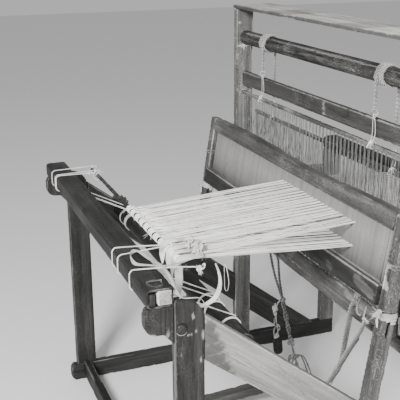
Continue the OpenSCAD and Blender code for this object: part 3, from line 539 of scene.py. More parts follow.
def about_x(x, axis, radius, angles):
    """Points round a line along X through that y and z."""
    y = axis[0] + radius * np.cos(angles)
    z = axis[1] + radius * np.sin(angles)
    return np.stack(np.broadcast_arrays(x, y, z), 1)


def frames_of(path, closed=False):
    """The direction of the path at each point and two directions across it."""
    ahead = np.roll(path, -1, 0) - np.roll(path, 1, 0)
    if not closed:
        ahead[0] = path[1] - path[0]
        ahead[-1] = path[-1] - path[-2]
    t = ahead / np.maximum(np.linalg.norm(ahead, axis=1), 1e-12)[:, None]
    last = np.array(X if abs(t[0][0]) < 0.8 else Y, float)
    u = np.empty_like(t)
    for i in range(len(t)):
        last = last - t[i] * (last @ t[i])
        last = last / max(np.linalg.norm(last), 1e-12)
        u[i] = last
    return t, u, np.cross(t, u)


class Strands:
    """Collects tubes, ropes, knots and tapes into one mesh; a higher tone is darker."""

    def __init__(self, seed):
        self.verts, self.quads, self.caps, self.tones = [], [], [], []
        self.count = 0
        self.random = np.random.default_rng(seed)

    def loft(self, rings, closed=False, tone=0):
        m, n = rings.shape[:2]
        i = np.arange(m if closed else m - 1)[:, None]
        k = np.arange(n)[None]
        j = (k + 1) % n
        nxt = (i + 1) % m
        quads = np.stack([i * n + k, i * n + j, nxt * n + j, nxt * n + k], -1).reshape(-1, 4) + self.count
        self.quads.append(quads)
        if not closed:
            self.caps.append([self.count + q for q in range(n - 1, -1, -1)])
            self.caps.append([self.count + (m - 1) * n + q for q in range(n)])
        self.verts.append(rings.reshape(-1, 3))
        self.tones.append(np.repeat(np.broadcast_to(tone, (m,)), n))
        self.count += m * n

    def tube(self, path, radius, sides=6, closed=False, tone=0):
        path = np.asarray(path, float)
        _, u, w = frames_of(path, closed)
        a = around(sides)
        r = np.broadcast_to(radius, (len(path),))[:, None, None]
        side = np.cos(a)[None, :, None] * u[:, None] + np.sin(a)[None, :, None] * w[:, None]
        self.loft(path[:, None] + r * side, closed, tone)

    def rope(self, path, radius, pitch, plies=2, tone=0, links=0):
        """A twisted rope; links paints shade into the grooves between its turns."""
        per_turn = 10 if links else 6
        sides = 4 if radius < 3.5 else 5
        path = resample(path, pitch / per_turn)
        _, u, w = frames_of(path)
        along = np.arange(len(path)) / per_turn * TURN
        thick = radius * (0.5 if plies == 2 else 0.47)
        # A dark core: painted shade between the plies.
        if radius > 2.4:
            self.tube(path[::3], radius * 0.55, 6, tone=1)
        for k in range(plies):
            a = along + TURN * k / plies
            centre = path + radius * 0.54 * (np.cos(a)[:, None] * u + np.sin(a)[:, None] * w)
            shade = tone + 0.15 * self.random.random() + links * (0.5 + 0.5 * np.cos(2 * along)) ** 1.5
            self.tube(centre, thick, sides, tone=shade)

    def hairs(self, path, radius, count, length):
        """Short loose fibres that stand off a rope."""
        t, u, w = frames_of(path)
        for i in self.random.integers(1, len(path) - 1, count):
            a = self.random.uniform(0, TURN)
            out = math.cos(a) * u[i] + math.sin(a) * w[i]
            lean = t[i] * self.random.uniform(-0.8, 0.8)
            size = length * self.random.uniform(0.4, 1)
            start = path[i] + out * radius * 0.8
            mid = start + (out + lean) * size * 0.5
            end = mid + (out * 0.2 + lean + self.random.normal(0, 0.4, 3)) * size * 0.5
            self.tube([start, mid, end], [radius * 0.09 + 0.12, 0.14, 0.06], 3)

    def knot(self, centre, size, thick, seed=0, tone=0, flat=0.8, steps=36, sides=5):
        a = around(steps)
        shape = np.stack([np.sin(a) + 2 * np.sin(2 * a), np.cos(a) - 2 * np.cos(2 * a),
                          -np.sin(3 * a) * flat * 1.6], 1)
        turn, _ = np.linalg.qr(np.random.default_rng(seed).normal(size=(3, 3)))
        self.tube(np.asarray(centre) + shape @ turn * size / 3, thick, sides, True, tone)

    def fray(self, start, direction, length, count, spread, thick, tone=0, drop=0):
        """Loose ends that fan out from the start and sink by the drop."""
        direction = np.array(direction) / np.linalg.norm(direction)
        for _ in range(count):
            go = direction + self.random.normal(0, spread, 3)
            go = go / np.linalg.norm(go)
            far = length * self.random.uniform(0.55, 1)
            bend = self.random.normal(0, spread * 0.5, 3) - np.array([0, 0, drop])
            path = [start + go * far * s + bend * far * s * s for s in np.linspace(0, 1, 5)]
            self.tube(path, np.linspace(thick, thick * 0.35, 5), 3, tone=tone + 0.2 * self.random.random())

    def tape(self, points, widths, faces, thick, step=4, tone=0, waves=0):
        """A flat woven tape along the points; the faces say where its flat side looks at each."""
        path = curve(points, step)
        at = np.linspace(0, 1, len(path))
        spans = np.linalg.norm(np.diff(np.asarray(points, float), axis=0), axis=1)
        keys = np.concatenate([[0], np.cumsum(spans) / spans.sum()])
        look = np.stack([np.interp(at, keys, np.asarray(faces, float)[:, k]) for k in range(3)], 1)
        t, _, _ = frames_of(path)
        side = np.cross(t, look)
        side = side / np.maximum(np.linalg.norm(side, axis=1), 1e-9)[:, None]
        up = np.cross(side, t)
        wide = np.interp(at, np.linspace(0, 1, len(widths)), widths)[:, None]
        ripple = waves * np.sin(at * len(path) * 0.35)[:, None]
        rings = []
        for s, h in ((-1, 0), (-0.7, 1), (0, 0.8), (0.7, 1), (1, 0), (0.7, -1), (0, -0.8), (-0.7, -1)):
            rings.append(path + side * wide * s / 2 + up * (h * thick / 2 + ripple * abs(s)))
        self.loft(np.stack(rings, 1), tone=tone)

    def piece(self, name, mat, replaced, body=None):
        made = bpy.data.meshes.new(name)
        faces = np.vstack(self.quads).tolist() + self.caps
        made.from_pydata(mm(np.vstack(self.verts)).tolist(), [], faces)
        tone = made.attributes.new("tone", "FLOAT", "POINT")
        tone.data.foreach_set("value", np.concatenate(self.tones))
        made.update()
        return finish_piece(made, name, mat, replaced, body)


# The domed end of the peg in the near post, its pale rim, and a block of dark post wood that fills the
# cavity beside the end block as painted shade
PEG = (77, 700)
peg = Strands(70)
dome = ((0, 13.2), (1.6, 12.8), (3.4, 11.2), (4.8, 8.4), (5.6, 4.6), (5.9, 0.6))
# The dome is painted darker towards its base, as shade.
peg.loft(np.stack([about_x(557.6 + out, PEG, radius, around(28)) for out, radius in dome]),
         tone=np.linspace(0.5, 0.1, 6))
peg.piece("peg_end", mat_post, [], "frame")
rim = Strands(71)
rim.tube(about_x(559, PEG, 13.6, np.linspace(-2.7, -0.5, 20)), 1.1 * np.sin(np.linspace(0.3, 2.84, 20)), 6)
rim.piece("peg_rim", mat_block, [], "frame")
# Painted shade: a dark block stands in the cavity beside the end block.
dark_fill = Strands(72)
rings = []
for x in (500, 520, 540, 548, 550.5):
    lip = 1.5 if x > 549 else 0
    rings.append([[x, 5.5 + lip, 760 + lip], [x, 22.5 - lip, 757 + lip], [x, 22.5 - lip, 788 - lip],
                  [x, 5.5 + lip, 788 - lip]])
dark_fill.loft(np.array(rings))
dark_fill.piece("end_shade_fill", mat_post, [], "frame")

# The two shafts: y of each, height of its eyes and of its heddle bar
SHAFTS = {"front": (674, 826, 1000), "back": (726, 756, 930)}
# The warp passes the reed in groups of fine ends, and two groups go to one bunch at the rod
GROUPS, GROUP_STEP, FIRST_X = 21, 20, -15
ENDS, END_STEP, BUNCH_STEP = 6, 1.6, 1.25
BACK_BEAM_Y, BACK_BEAM_Z = 1039, 801.6
ROD_Y, ROD_Z = 128, 793.7


def bunch_x(i):
    """Middle of the bunch that takes group i; the last group has a bunch to itself."""
    if i == GROUPS - 1:
        return FIRST_X + GROUP_STEP * (i - 2) + 47
    return FIRST_X + GROUP_STEP * (i - i % 2) + 15


rng = np.random.default_rng(11)
for layer, (eye_y, eye_z, _) in SHAFTS.items():
    offset = 0 if layer == "front" else 1
    fore, rear, over = Strands(3), Strands(4), Strands(5)
    for i in range(GROUPS):
        rank = (i % 2) * 12 + offset * ENDS
        for k in range(ENDS):
            x = FIRST_X + GROUP_STEP * i + 10 * offset + (k - 2.5) * END_STEP + rng.normal(0, 0.25)
            tie = bunch_x(i) + (rank + k - 11.5) * BUNCH_STEP
            slack = rng.normal(0, 1.2)
            shade = np.clip(rng.normal(0.16, 0.2), 0, 0.8)
            s = np.linspace(0, 1, 13)[:, None]
            start = np.array([tie, ROD_Y + 9 + rng.uniform(0, 3), ROD_Z + rng.normal(0, 2.2)])
            end = np.array([x, eye_y, eye_z + rng.normal(0, 0.8)])
            line = start + (end - start) * s + np.array([0, 0, slack]) * np.sin(math.pi * s)
            line[:, 0] += rng.normal(0, 0.5) * np.sin(TURN * s[:, 0])
            fore.tube(line, 0.84 * rng.uniform(0.85, 1.15), 4, tone=shade)
            back = np.array([x, BACK_BEAM_Y, BACK_BEAM_Z])
            line = end + (back - end) * np.linspace(0, 1, 9)[:, None]
            rear.tube(line, 0.82, 4, tone=shade)
            z0 = BACK_BEAM_Z + rng.uniform(0, 0.6)
            turn_over = [[x, BACK_BEAM_Y, z0], [x, 1060, z0 + 0.2], [x, 1081, z0], [x, 1088.5, z0 - 3.5],
                         [x, 1091.4, z0 - 11], [x + rng.normal(0, 1), 1091.4, 640], [x, 1090.6, 430]]
            over.tube(curve(turn_over, 18), 0.82, 4, tone=shade)
    shaft = layer + "_shaft"
    warp_fore = fore.piece("warp_to_rod_" + layer, mat_warp, ["warp_" + layer])
    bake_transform(warp_fore)
    warp_rear = rear.piece("warp_to_back_" + layer, mat_warp, ["warp_" + layer])
    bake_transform(warp_rear)
    over.piece("warp_over_beam_" + layer, mat_warp, ["warp_" + layer], "frame")

# The warp tied to the rod in bunches
bunches = Strands(7)
for i in range(0, GROUPS, 2):
    middle = bunch_x(i)
    ends = 24 if i < GROUPS - 1 else 12
    for k in range(ends):
        x = middle + (k - (ends - 1) / 2) * BUNCH_STEP
        r = 7.3 + 0.7 * (k % 3) + bunches.random.uniform(0, 0.8)
        lean = bunches.random.normal(0, 1.4)
        ring = oval((x, ROD_Y, ROD_Z), (lean, 0, r), (0, r, 0), around(14))
        bunches.tube(ring, 0.87, 4, True, tone=0.25 * bunches.random.random())
    bunches.knot([middle, ROD_Y + 10, ROD_Z + 2], 6.5, 2.2, i, 0.1)
    bunches.fray([middle + 2, ROD_Y + 9, ROD_Z + 5], (0.2, -0.5, 0.5), 30, 9, 0.3, 0.7, 0.1, 0.8)
bunches.piece("warp_knots", mat_warp, ["warp_bunches"], "frame")

# Turns of warp on the warp beam
WARP_AXIS = (1044, 430)
roll = Strands(9)
rings = []
for x in np.arange(-20.8, 410.6, 1.15):
    r = 44.6 + 1.1 * abs(math.sin(x / 2.3 * math.pi))
    r += 0.5 * math.sin(x * 0.11) + 0.3 * math.sin(x * 0.37 + 1)
    rings.append(about_x(x, WARP_AXIS, r, around(36)))
roll.loft(np.stack(rings))
roll.piece("wound_warp", mat_warp, ["warp_roll"], "warp_beam")


# Reed: fine cane dents between two ribs
def box_rings(x0, x1, y0, y1, z0, z1):
    return np.array([[[x0, y0, z], [x1, y0, z], [x1, y1, z], [x0, y1, z]] for z in (z0, z1)])


DENTS, DENT_STEP, REED_X = 470, 2.3, 540
reed = Strands(12)
for i in range(DENTS):
    x = -REED_X + i * DENT_STEP + reed.random.normal(0, 0.12)
    half = 0.36 + 0.1 * reed.random.random()
    lean = reed.random.normal(0, 0.25)
    ring = box_rings(x - half, x + half, -5.6, 1.6, 699, 830)
    ring[1, :, 0] += lean
    reed.loft(in_batten(ring), tone=np.clip(reed.random.normal(0.06, 0.05), 0, 0.3))
for x in (-542, 539):
    reed.loft(in_batten(box_rings(x - 2, x + 5, -6.5, 2.5, 697, 832)), tone=0.1)
for r in (692.5, 829.5):
    for y in (-6.6, 0.6):
        reed.loft(in_batten(box_rings(-REED_X, REED_X, y, y + 2, r + 0.3, r + 7)), tone=0.2)
reed.piece("fine_reed", mat_cane, ["reed"], "batten")

# String heddles: each a loop over both bars, knotted above and below its eye
BAR_SPAN, SHAFT_EDGE = 474, 472
for layer, (eye_y, eye_z, top_z) in SHAFTS.items():
    low_z = top_z - BAR_SPAN
    string = Strands(20 if layer == "front" else 21)
    rnd = string.random
    first = FIRST_X + (0 if layer == "front" else 10)
    warped = [first + GROUP_STEP * i + d for i in range(GROUPS) for d in (-2.6, 0.9, 3.5)]
    spare = [*np.arange(-462, -30, 7.6), *np.arange(420, 466, 7.2)]
    for x0 in warped + spare:
        used = x0 in warped
        slack = rnd.uniform(0, 1 if used else 5)
        x_top = x0 + rnd.normal(0, 1.6 if used else 3)
        x_low = x0 + rnd.normal(0, 2 if used else 4)
        x_top, x_low = np.clip((x_top, x_low), -SHAFT_EDGE, SHAFT_EDGE)
        shade = np.clip(rnd.normal(0.3, 0.25), 0, 0.9)
        drop = rnd.uniform(-2.5, 2.5) if used else rnd.uniform(-7, 7)
        eye_hi, eye_lo = eye_z + 9 + drop, eye_z - 9 + drop
        for side in (-1, 1):
            bow = rnd.normal(0, 0.8) + side * slack
            way = np.array([
                [x_top, -0.2 * side, top_z + 6.9], [x_top + side * 0.2, 6.6, top_z + 6.4],
                [x_top + side * 0.3, 6.9, top_z - 5], [x_top * 0.6 + x0 * 0.4 + bow, 4.2, top_z - 70],
                [x0 + side * 0.5, 1, eye_hi + 2], [x0 + side * 0.4, 0, eye_hi],
                [x0 + side * 2.4, 0, (eye_hi + eye_lo) / 2], [x0 + side * 0.4, 0, eye_lo],
                [x0 + side * 0.5, 1, eye_lo - 2],
                [x_low * 0.5 + x0 * 0.5 + bow, 3.4, (eye_lo + low_z + 47) / 2],
                [x_low + side * 0.3, 2.4, low_z + 52], [x_low + side * 0.2, 1.2, low_z + 47.6],
            ])
            string.tube(curve(way * (1, side, 1) + (0, eye_y, 0), 21), 0.65, 3, tone=shade)
        for z in (eye_hi, eye_lo):
            string.knot([x0, eye_y, z], 1.1, 0.7, int(abs(x0) * 10), shade, 1, 16, 3)
        if rnd.random() < 0.16:
            lean = (rnd.normal(0, 0.5), -1, -0.8)
            string.fray([x0, eye_y - 1, eye_hi], lean, 20, 3, 0.3, 0.4, shade, 0.6)
    string.piece(layer + "_string_heddles", mat_string, [layer + "_heddles"], layer + "_shaft")

# Lifting ropes: turns on the roller, ropes, rings and doubled cords to the heddle bars
ROLLER = (700, 1178)
ROPE_X = {"front": 331, "back": 352}
wraps = Strands(30)
for side in (-1, 1):
    for x0, start in zip(ROPE_X.values(), (math.pi, 0)):
        a = np.linspace(0, 3 * TURN, 130)
        r = 26.1 + 0.5 * np.sin(a * 1.7 + x0)
        turns = about_x(side * x0 + (a / TURN - 1.5) * 6.2, ROLLER, r, a + start)
        wraps.rope(turns, 3.3, 16, links=0.8)
        wraps.hairs(turns, 3.5, 260, 9)
wraps.piece("rope_turns", mat_rope, ["roller_wraps"], "roller")

# One of the two cords under a ring, down and round the heddle bar
RING_RISE = 84
HANGER = np.array([[1.8, -2, RING_RISE - 9], [5.4, 0, 60], [6.6, 1, 30], [5.2, -3, 12], [3, -7.4, 4],
                   [3.4, -7.6, -6], [3.6, 0, -8], [3.8, 7.6, -2], [2, 5, 7.6], [4, -5, 8.4]])
for layer, (eye_y, _, bar_z) in SHAFTS.items():
    ring_z = bar_z + RING_RISE
    ropes, cords, irons = Strands(32), Strands(33), Strands(34)
    for side in (-1, 1):
        x = side * ROPE_X[layer]
        bar = np.array([x, eye_y, bar_z])
        path = curve([[x, eye_y, 1177], [x, eye_y, 1160], [x + 0.6, eye_y, 1130], [x, eye_y, ring_z + 9.5]])
        ropes.rope(path, 4.6, 21, links=1)
        ropes.hairs(path, 3.5, 70, 4)
        irons.tube(oval((x, eye_y, ring_z), (3.9, 7.7, 0), (0, 0, 8.6), around(32)), 2.7, 10, True)
        for k in (-1, 1):
            bend = np.linspace(-0.3 * math.pi, 1.3 * math.pi, 14)
            eye = oval((x + k * 2.2, eye_y, ring_z - 8), (0, 0, 3.9), (0, -4.2, 0), bend)
            cords.rope(curve(eye, 1.5), 1.1, 6)
            cords.rope(curve(bar + HANGER * (k, 1, 1)), 1, 6, tone=0.15)
        cords.knot(bar + (0, -5, 9), 5.2, 1.8, 5 + side)
        cords.tube(curve(bar + [[0, -6, 9], [7, -9, 15], [13, -10, 13]]), 1.4, 6)
        cords.fray(bar + (13, -10, 13), (1, -0.3, -0.2), 12, 7, 0.3, 0.6, 0, 0.8)
        cords.tube(curve(bar + [[0, -6, 9], [-5, -10, 2], [-9, -11, -8]]), 1.4, 6)
    shaft, hangers = layer + "_shaft", [layer + "_hangers"]
    hung = ropes.piece("lift_rope_" + layer, mat_rope, hangers)
    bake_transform(hung)
    cords.piece("heddle_bar_cords_" + layer, mat_cord, hangers, shaft)
    irons.piece("lift_rings_" + layer, mat_steel, hangers, shaft)

# Apron cords: from the rod over the breast beam, round its front and down to the cloth beam
CLOTH_AXIS = (240, 620)
LAND = math.pi / 3
CORD, CORD_TWIST, BEND = 1.9, 9, 11.4
# Place of each cord at the beam and at the rod
APRON = {-444: -452, -391: -398, -380: -370, 288: 322, 337: 318, 436: 468}
apron, wound = Strands(50), Strands(51)
for x, rod_x in APRON.items():
    over = [
        [x + (rod_x - x) * t ** 1.3, 142 * t, 802.3 + 0.5 * math.sin(3 * t)] for t in (0.88, 0.65, 0.4, 0.2)
    ]
    upper = oval((x, 9, 791), (0, 0, BEND), (0, -BEND, 0), np.linspace(0.15, math.pi / 2, 7))
    lower = oval((x, 9, 764), (0, -BEND, 0), (0, 0, -BEND), np.linspace(0, math.pi / 2 - 0.1, 7))
    under = [[x, 40, 752.6], [x, 58, 750.6]]
    land = [x, CLOTH_AXIS[0] + 31.2 * math.cos(LAND), CLOTH_AXIS[1] + 31.2 * math.sin(LAND)]
    down = curve([under[-1], [x, 120, 716.5], land], 4)
    path = np.vstack([curve(np.vstack([over, upper, lower, under]), 4), down[1:]])
    apron.rope(path, CORD, CORD_TWIST)
    apron.hairs(path, CORD, 70, 3)
    if rod_x < 460:
        a = np.linspace(0.2, TURN, 15)
        hitch = oval((over[0][0], ROD_Y, ROD_Z), (0, 0, 8.2), (0, 8.2, 0), a)
        hitch[:, 0] += 1.2 * a
        apron.rope(curve(hitch), CORD, CORD_TWIST)
    a = np.linspace(LAND, LAND - 2.1 * TURN, 90)
    wound.rope(about_x(x + (LAND - a) / TURN * 3.9, CLOTH_AXIS, 27, a), CORD, CORD_TWIST)
for x, y, z, size in ((325, 136, 803, 5), (316, 138, 803, 5), (-398, 128, 802, 4.5), (-451, 130, 802, 4.5)):
    apron.knot([x, y, z], size, 1.8, x % 50)
    apron.fray([x, y + 4, z], (0.3, 0.8, 0.3), 22, 8, 0.35, 0.8, 0, 0.6)
# The nearest cord reaches past the rod and ends in a frayed knot with a curl
apron.rope(curve([[463, 125, 802.3], [469, 140, 802.5], [474, 148, 802]]), CORD, CORD_TWIST)
apron.knot([474, 150, 799], 5.8, CORD, 3)
apron.knot([472, 151, 795], 5.8, CORD, 12)
apron.fray([474, 150, 797], (0.1, 0.1, -1), 11, 30, 0.3, 1.2, 0, 0.3)
apron.fray([474, 148, 801], (0.1, -0.3, 1), 7, 12, 0.5, 0.9)
curl = oval((481, 157, 806), (5.5, 0, 0), (0, 3, 5.5), np.linspace(-2.4, 3.2, 16))
apron.rope(curl, CORD, CORD_TWIST)
# The far cords end in hooked tails that lie on the beam
for tail in ([[-370, 118, 802.5], [-352, 112, 803], [-330, 104, 803], [-308, 106, 802], [-300, 114, 799]],
             [[-398, 122, 802.5], [-384, 106, 803], [-372, 96, 802.6], [-366, 102, 802]]):
    apron.rope(curve(tail), CORD, CORD_TWIST)
apron.piece("apron_cord_strands", mat_cord, ["apron_cords"], "frame")
wound.piece("cord_turns", mat_cord, ["cloth_wraps"], "cloth_beam")

# Flat tapes, thrums and knots at the near corner
UP, DOWN, FORE = (0, 0, 1), (0, 0, -1), (0, -1, 0)
tapes = Strands(60)
loop = [[423, 181, 806], [414, 163, 806], [435, 130, 805], [443, 89, 804], [428, 54, 803.5], [408, 22, 804],
        [370, 20, 808], [345, 34, 810], [347, 48, 808], [400, 62, 804], [437, 72, 804], [470, 72, 804],
        [501, 70, 804], [524, 68, 803], [541, 67, 795], [549, 72, 781], [552, 84, 770.5], [553, 104, 768.6],
        [553, 122, 764], [553, 131.5, 748], [552, 132.5, 726]]
looks = [UP] * 4 + [(0, -0.2, 1), (0, -0.6, 0.8), (-0.5, -0.9, 0.1), (-0.6, -0.5, -0.6), (0.2, 0.2, -1)]
looks += [DOWN] * 4 + [(-0.2, 0, -1), (-0.8, 0.1, -0.5), (-0.7, 0.2, -0.6), DOWN, DOWN]
looks += [(0, -0.5, -0.8), (0, -1, -0.1), FORE]
tapes.tape(loop, [6, 8, 9, 8, 10, 9, 8, 6, 5], looks, 1, tone=0.5, waves=0.5)
hang = [[455, 196, 797], [474, 196, 786], [486, 195, 768], [488, 192, 748], [487, 183, 728], [484, 168, 716],
        [484, 150, 711], [490, 132, 714], [504, 112, 726], [521, 97, 744], [536, 86, 760], [544, 80, 768.6]]
looks = [(0.7, -0.7, 0.1)] * 4 + [(0.6, -0.6, 0.5)] * 3 + [(0.4, -0.5, 0.8)] * 5
tapes.tape(hang, [4, 8, 13, 9, 6, 5, 6], looks, 1, tone=0.12, waves=0.7)
looks = [UP, (0.3, 0, 1), (0.5, -0.3, 0.8)] + [(0.85, -0.5, 0.1)] * 4
for x, low_y, low_z, width, shade in ((427, 118, 714, 21, 0), (309, 117, 752, 17, 0),
                                      (356, 118, 768, 16, 0), (385, 116, 742, 11, 0.25)):
    strip = [[x - 4, 176, 806], [x, 150, 810], [x, 128, 809], [x, 119, 797], [x, 117, 780],
             [x - 1, low_y, 760], [x - 3, low_y, low_z]]
    widths = [width * 0.7, width, width, width * 0.9, width * 0.2]
    tapes.tape(strip, widths, looks, 1.3, tone=shade, waves=0.8)
for place, size, seed in (((336, 178, 813), 12, 2), ((376, 184, 813), 12, 9), ((354, 168, 808), 9, 5),
                          ((392, 172, 808), 8, 21)):
    tapes.knot(place, size, size * 0.36, seed, 0.05, 1.2)
for x, y in ((350, 178), (396, 182), (372, 170)):
    tapes.fray([x, y, 808], (0.6, 0.1, -0.5), 18, 14, 0.4, 1.1, 0.1, 0.5)
string = [[452, 222, 790], [455, 226, 770], [456, 229, 745], [453, 228, 726], [449, 225, 722],
               [446, 223, 728], [447, 222, 748], [448, 221, 770], [450, 220, 790]]
tapes.tube(curve(string, 3), 0.9, 6)
tapes.piece("corner_tapes", mat_rag, [], "frame")

# Right tie rope, thick and worn: two branches from the foot bar, a knot and one rope to the treadle
tie = Strands(40)
for top, thick in (([[314, 665, 582], [304, 662, 556], [288, 663, 528], [268, 668, 470]], 5.6),
                   ([[352, 672, 524], [342, 673, 505], [318, 674, 464], [282, 674, 412]], 6.6)):
    line = curve(top + [[226, 674, 326], [186, 674, 262], [168, 674, 233.6]], 4)
    tie.rope(line + (0, -3.4, 0), thick, 24, tone=0.15, links=1.4)
    tie.rope(line[22:-3] + (0, 4.6, 0), thick * 0.85, 20, tone=0.35, links=1.2)
    tie.hairs(line, thick, 160, 6)
end = curve([[168, 674, 233.6], [150, 674, 200], [134, 674, 180], [132, 674, 160.5]], 4)
tie.rope(end, 4.8, 18, 3, 0.1)
tie.knot([168, 674, 235], 9.5, 4.2, 4, 0.1)
tie.knot([316, 663, 583], 8.5, 3.6, 7)
tie.knot([352, 672, 527], 8.5, 3.4, 9)
tie.fray([316, 661, 580], (0.7, -0.6, -0.2), 22, 12, 0.35, 0.9, 0.05, 0.5)
tie.fray([132, 674, 176], (0.1, -0.3, -1), 15, 14, 0.3, 1, 0.1)
for x, z in ((316, 549), (352, 540)):
    a = np.linspace(0, TURN, 30)
    hold = oval((x, 674, z), (0, -9.6, 0), (0, 0, 27), a)
    hold[:, 0] += 3 * np.sin(2 * a)
    tie.rope(curve(hold, 3), 3, 11, tone=0.1)
tie.piece("right_tie_strands", mat_rope, ["front_tie_rope"], "front_shaft")

# Left tie rope: two branches, a twisted length, knots and a bunch of loose ends over the treadle
tie = Strands(41)
for x, mid in ((-352, -316), (-293, -281)):
    line = curve([[x, 722, 470], [x + 4, 724, 440], [mid, 726, 380], [-254, 726, 318]], 4)
    tie.rope(line, 5, 22, links=1.2)
    tie.hairs(line, 4, 60, 5)
    hold = oval((x, 726, 479.5), (0, -9.4, 0), (0, 0, 27), np.linspace(0, TURN, 26))
    tie.rope(curve(hold, 3), 3, 11, tone=0.1)
a = np.linspace(0, 1, 60)
spine = np.array([-253, 726, 317]) + a[:, None] * (71, 0, -126)
for phase in (0, math.pi):
    tie.rope(oval(spine, (4.2, 0, 0), (0, 4.2, 0), a * 11 + phase), 4.6, 21, links=1.2)
end = curve([[-182, 726, 191], [-160, 726, 160], [-138, 726, 130], [-132, 726, 99]], 4)
tie.rope(end, 4, 16, 3, 0.1)
for place, size, thick, seed in (([-180, 726, 190], 11, 4, 3), ([-150, 724, 152], 12, 4.2, 11),
                                 ([-136, 723, 125], 10, 4, 15)):
    tie.knot(place, size, thick, seed, 0.05)
tie.knot([-253, 726, 317], 8.5, 3.6, 6, 0.1)
for far, rise in (((-96, 744, 122), 30), ((-80, 758, 98), 40), ((-178, 714, 98), 20), ((-112, 734, 86), 10)):
    start = np.array([-150, 722, 152])
    end = np.array(far, float)
    mid = (start + end) / 2 + (0, 0, rise)
    tie.rope(curve([start, mid, end, end + (6, -2, -12)], 3), 2.6, 11)
    tie.fray(end, (0.3, -0.2, -1), 50, 22, 0.34, 1, 0, 0.2)
for x, z, wide, high in ((-124, 124, 25, 30), (-160, 128, 16, 24)):
    ring = oval((x, 715, z), (wide, 0, 0), (0, 0, high), np.linspace(0.4, 5.9, 26))
    tie.rope(curve(ring, 3), 3, 11)
tie.piece("left_tie_strands", mat_tie, ["back_tie_rope"], "back_shaft")

# Rag knot, iron hook and dark toggle that hang beside the left tie rope
rag = Strands(42)
rag.rope(curve([[-256, 722, 316], [-272, 718, 300], [-279, 716, 282]], 3), 2.8, 11)
fold = [[-284, 712, 292], [-272, 708, 282], [-279, 706, 270], [-290, 709, 262], [-281, 712, 250],
        [-274, 714, 262]]
looks = [FORE, (0.5, -0.8, 0.2), (0.4, -0.9, 0), (-0.4, -0.9, 0), FORE, FORE]
rag.tape(fold, [12, 16, 14, 10], looks, 2, 3)
rag.knot([-280, 711, 276], 8.5, 4.2, 8)
rag.rope(curve([[-281, 716, 262], [-281, 716, 240], [-278, 716, 218]], 3), 2.2, 10)
rag.knot([-272, 714, 172], 9, 3.6, 13, 0.1)
tail = [[-252, 715, 182], [-262, 712, 172], [-276, 711, 168], [-292, 714, 180], [-290, 716, 196]]
rag.rope(curve(tail, 3), 2.6, 11, tone=0.1)
rag.piece("hanging_rag", mat_rag, ["back_tie_rope"], "back_shaft")
hook = Strands(43)
bent = [[-286, 716, 236], [-294, 716, 226], [-292, 716, 208], [-282, 716, 202], [-274, 716, 210]]
hook.tube(curve(bent), 2.2, 8)
hook.tube(oval((-258, 716, 212), (9, 0, 0), (0, 0, 9), around(24)), 2, 8, True)
hook.tube(curve([[-278, 716, 222], [-268, 716, 214], [-264, 716, 196], [-268, 716, 178]]), 1.9, 8)
hook.piece("hanging_hook", mat_steel, ["back_tie_rope"], "back_shaft")
toggle = Strands(44)
spine = curve([[-270, 716, 168], [-262, 716, 140], [-256, 716, 112]])
bulk = np.interp(np.linspace(0, 1, len(spine)), [0, 0.06, 0.2, 0.8, 0.94, 1], [8, 13, 16.5, 16.5, 13, 7])
toggle.tube(spine, bulk, 18)
toggle.piece("hanging_toggle", mat_sill, ["back_tie_rope"], "back_shaft")

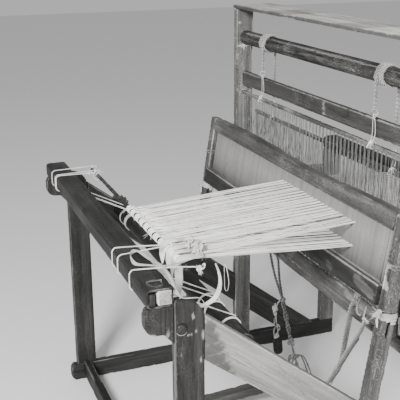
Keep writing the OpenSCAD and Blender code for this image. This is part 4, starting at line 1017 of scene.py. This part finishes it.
# Rags wound and knotted round the swords, and a thin dark cord above them
SWORD_X, RAG_R, CORD_R = 580, 621, 744
rags, cords = Strands(45), Strands(46)
for side in (-1, 1):
    for r0, turns in ((RAG_R, 2.4), (CORD_R, 2.2)):
        loop, looks = [], []
        for q in np.arange(0, turns * TURN, 0.26):
            c, w = math.cos(q), math.sin(q)
            stretch = 1 / max(abs(c) ** 4 + abs(w) ** 4, 0.2) ** 0.25
            grow = 0.5 * q / TURN
            rise = q / TURN * 8 + rags.random.normal(0, 0.9)
            x = side * SWORD_X + (21.6 + grow) * c * stretch
            loop.append([x, (16.8 + grow) * w * stretch, r0 + rise])
            looks.append([c, w * 0.99, 0.156 * w])
        if r0 == CORD_R:
            cords.rope(in_batten(loop), 2.6, 12, tone=0.2, links=0.5)
            cords.knot(in_batten([side * 582, -20, r0 + 9]), 5.5, 2.4, 7 + side, 0.1)
            continue
        rags.tape(in_batten(loop), [11, 14, 11, 13], looks, 1.6, tone=0.35, waves=0.9)
        at = in_batten([side * 578, -20, r0 + 12])
        rags.knot(at, 8.5, 3.4, 5 + side, 0.1, 1.2)
        rags.knot(at + (4, -3, 6), 6.5, 2.6, 12 + side, 0.3, 1.2)
        rags.fray(at, (0.3, -0.4, 0.8), 26, 14, 0.45, 1.3, 0, 0.3)
        rags.fray(at, (-0.6, -0.4, 0.3), 22, 10, 0.4, 1.2, 0.1, 0.5)
        base = np.array([side * 578, -22, r0 + 8])
        for dx, drop in ((12, 24), (-14, 6)):
            tail = [base, base + (dx * 0.6, -5, -drop * 0.3), base + (dx, -5, -drop)]
            looks = [(0.4, -0.9, 0), (0.2, -1, 0), (0.4, -0.9, 0.2)]
            rags.tape(in_batten(tail), [7, 9, 3], looks, 1.4, 3, 0.2, 1)
cords.piece("sword_cords", mat_tie, ["rag_lashings"], "batten")
rags.piece("knotted_rags", mat_rag, ["rag_lashings"], "batten")

# Floor, lights and camera
floor_mat, _, floor_shader = new_material("studio_floor")
floor_shader.inputs["Base Color"].default_value = (0.78, 0.78, 0.78, 1)
floor_shader.inputs["Roughness"].default_value = 0.85
bpy.ops.mesh.primitive_plane_add(size=30, location=(0, 0, -0.0005))
floor = bpy.context.object
floor.name = "studio_floor"
floor.data.materials.append(floor_mat)

world = bpy.context.scene.world or bpy.data.worlds.new("studio")
bpy.context.scene.world = world
world.use_nodes = True
glow = world.node_tree.nodes["Background"].inputs
glow["Color"].default_value = (0.85, 0.85, 0.85, 1)
glow["Strength"].default_value = 0.62


def area_light(name, place, target, size, power):
    lamp = bpy.data.lights.new(name, "AREA")
    lamp.energy = power
    lamp.size = size
    holder = add_object(name, lamp)
    holder.location = place
    holder.rotation_euler = (Vector(target) - Vector(place)).to_track_quat("-Z", "Y").to_euler()


area_light("key", (2.4, -2.2, 2.6), (0.1, 0, 0.7), 0.8, 330)
area_light("fill", (3.2, 1.6, 1.8), (0.1, 0.1, 0.6), 2, 40)

# The camera that matches the photograph: turns in degrees, focal length and width in pixels
YAW, PITCH, ROLL = (math.radians(a) for a in (20.606, 17.697, 0.415))
FOCAL, WIDTH, SENSOR = 832.2, 400, 36
camera_data = bpy.data.cameras.new("camera")
camera = add_object("camera", camera_data)
camera_data.sensor_width = SENSOR
camera_data.lens = FOCAL / WIDTH * SENSOR
camera.matrix_world = Matrix.Translation((2.0931, -0.99955, 1.5114))
for angle, axis in ((math.pi / 2 - YAW, "Z"), (math.pi / 2 - PITCH, "X"), (-ROLL, "Z")):
    camera.matrix_world @= Matrix.Rotation(angle, 4, axis)
bpy.context.scene.camera = camera
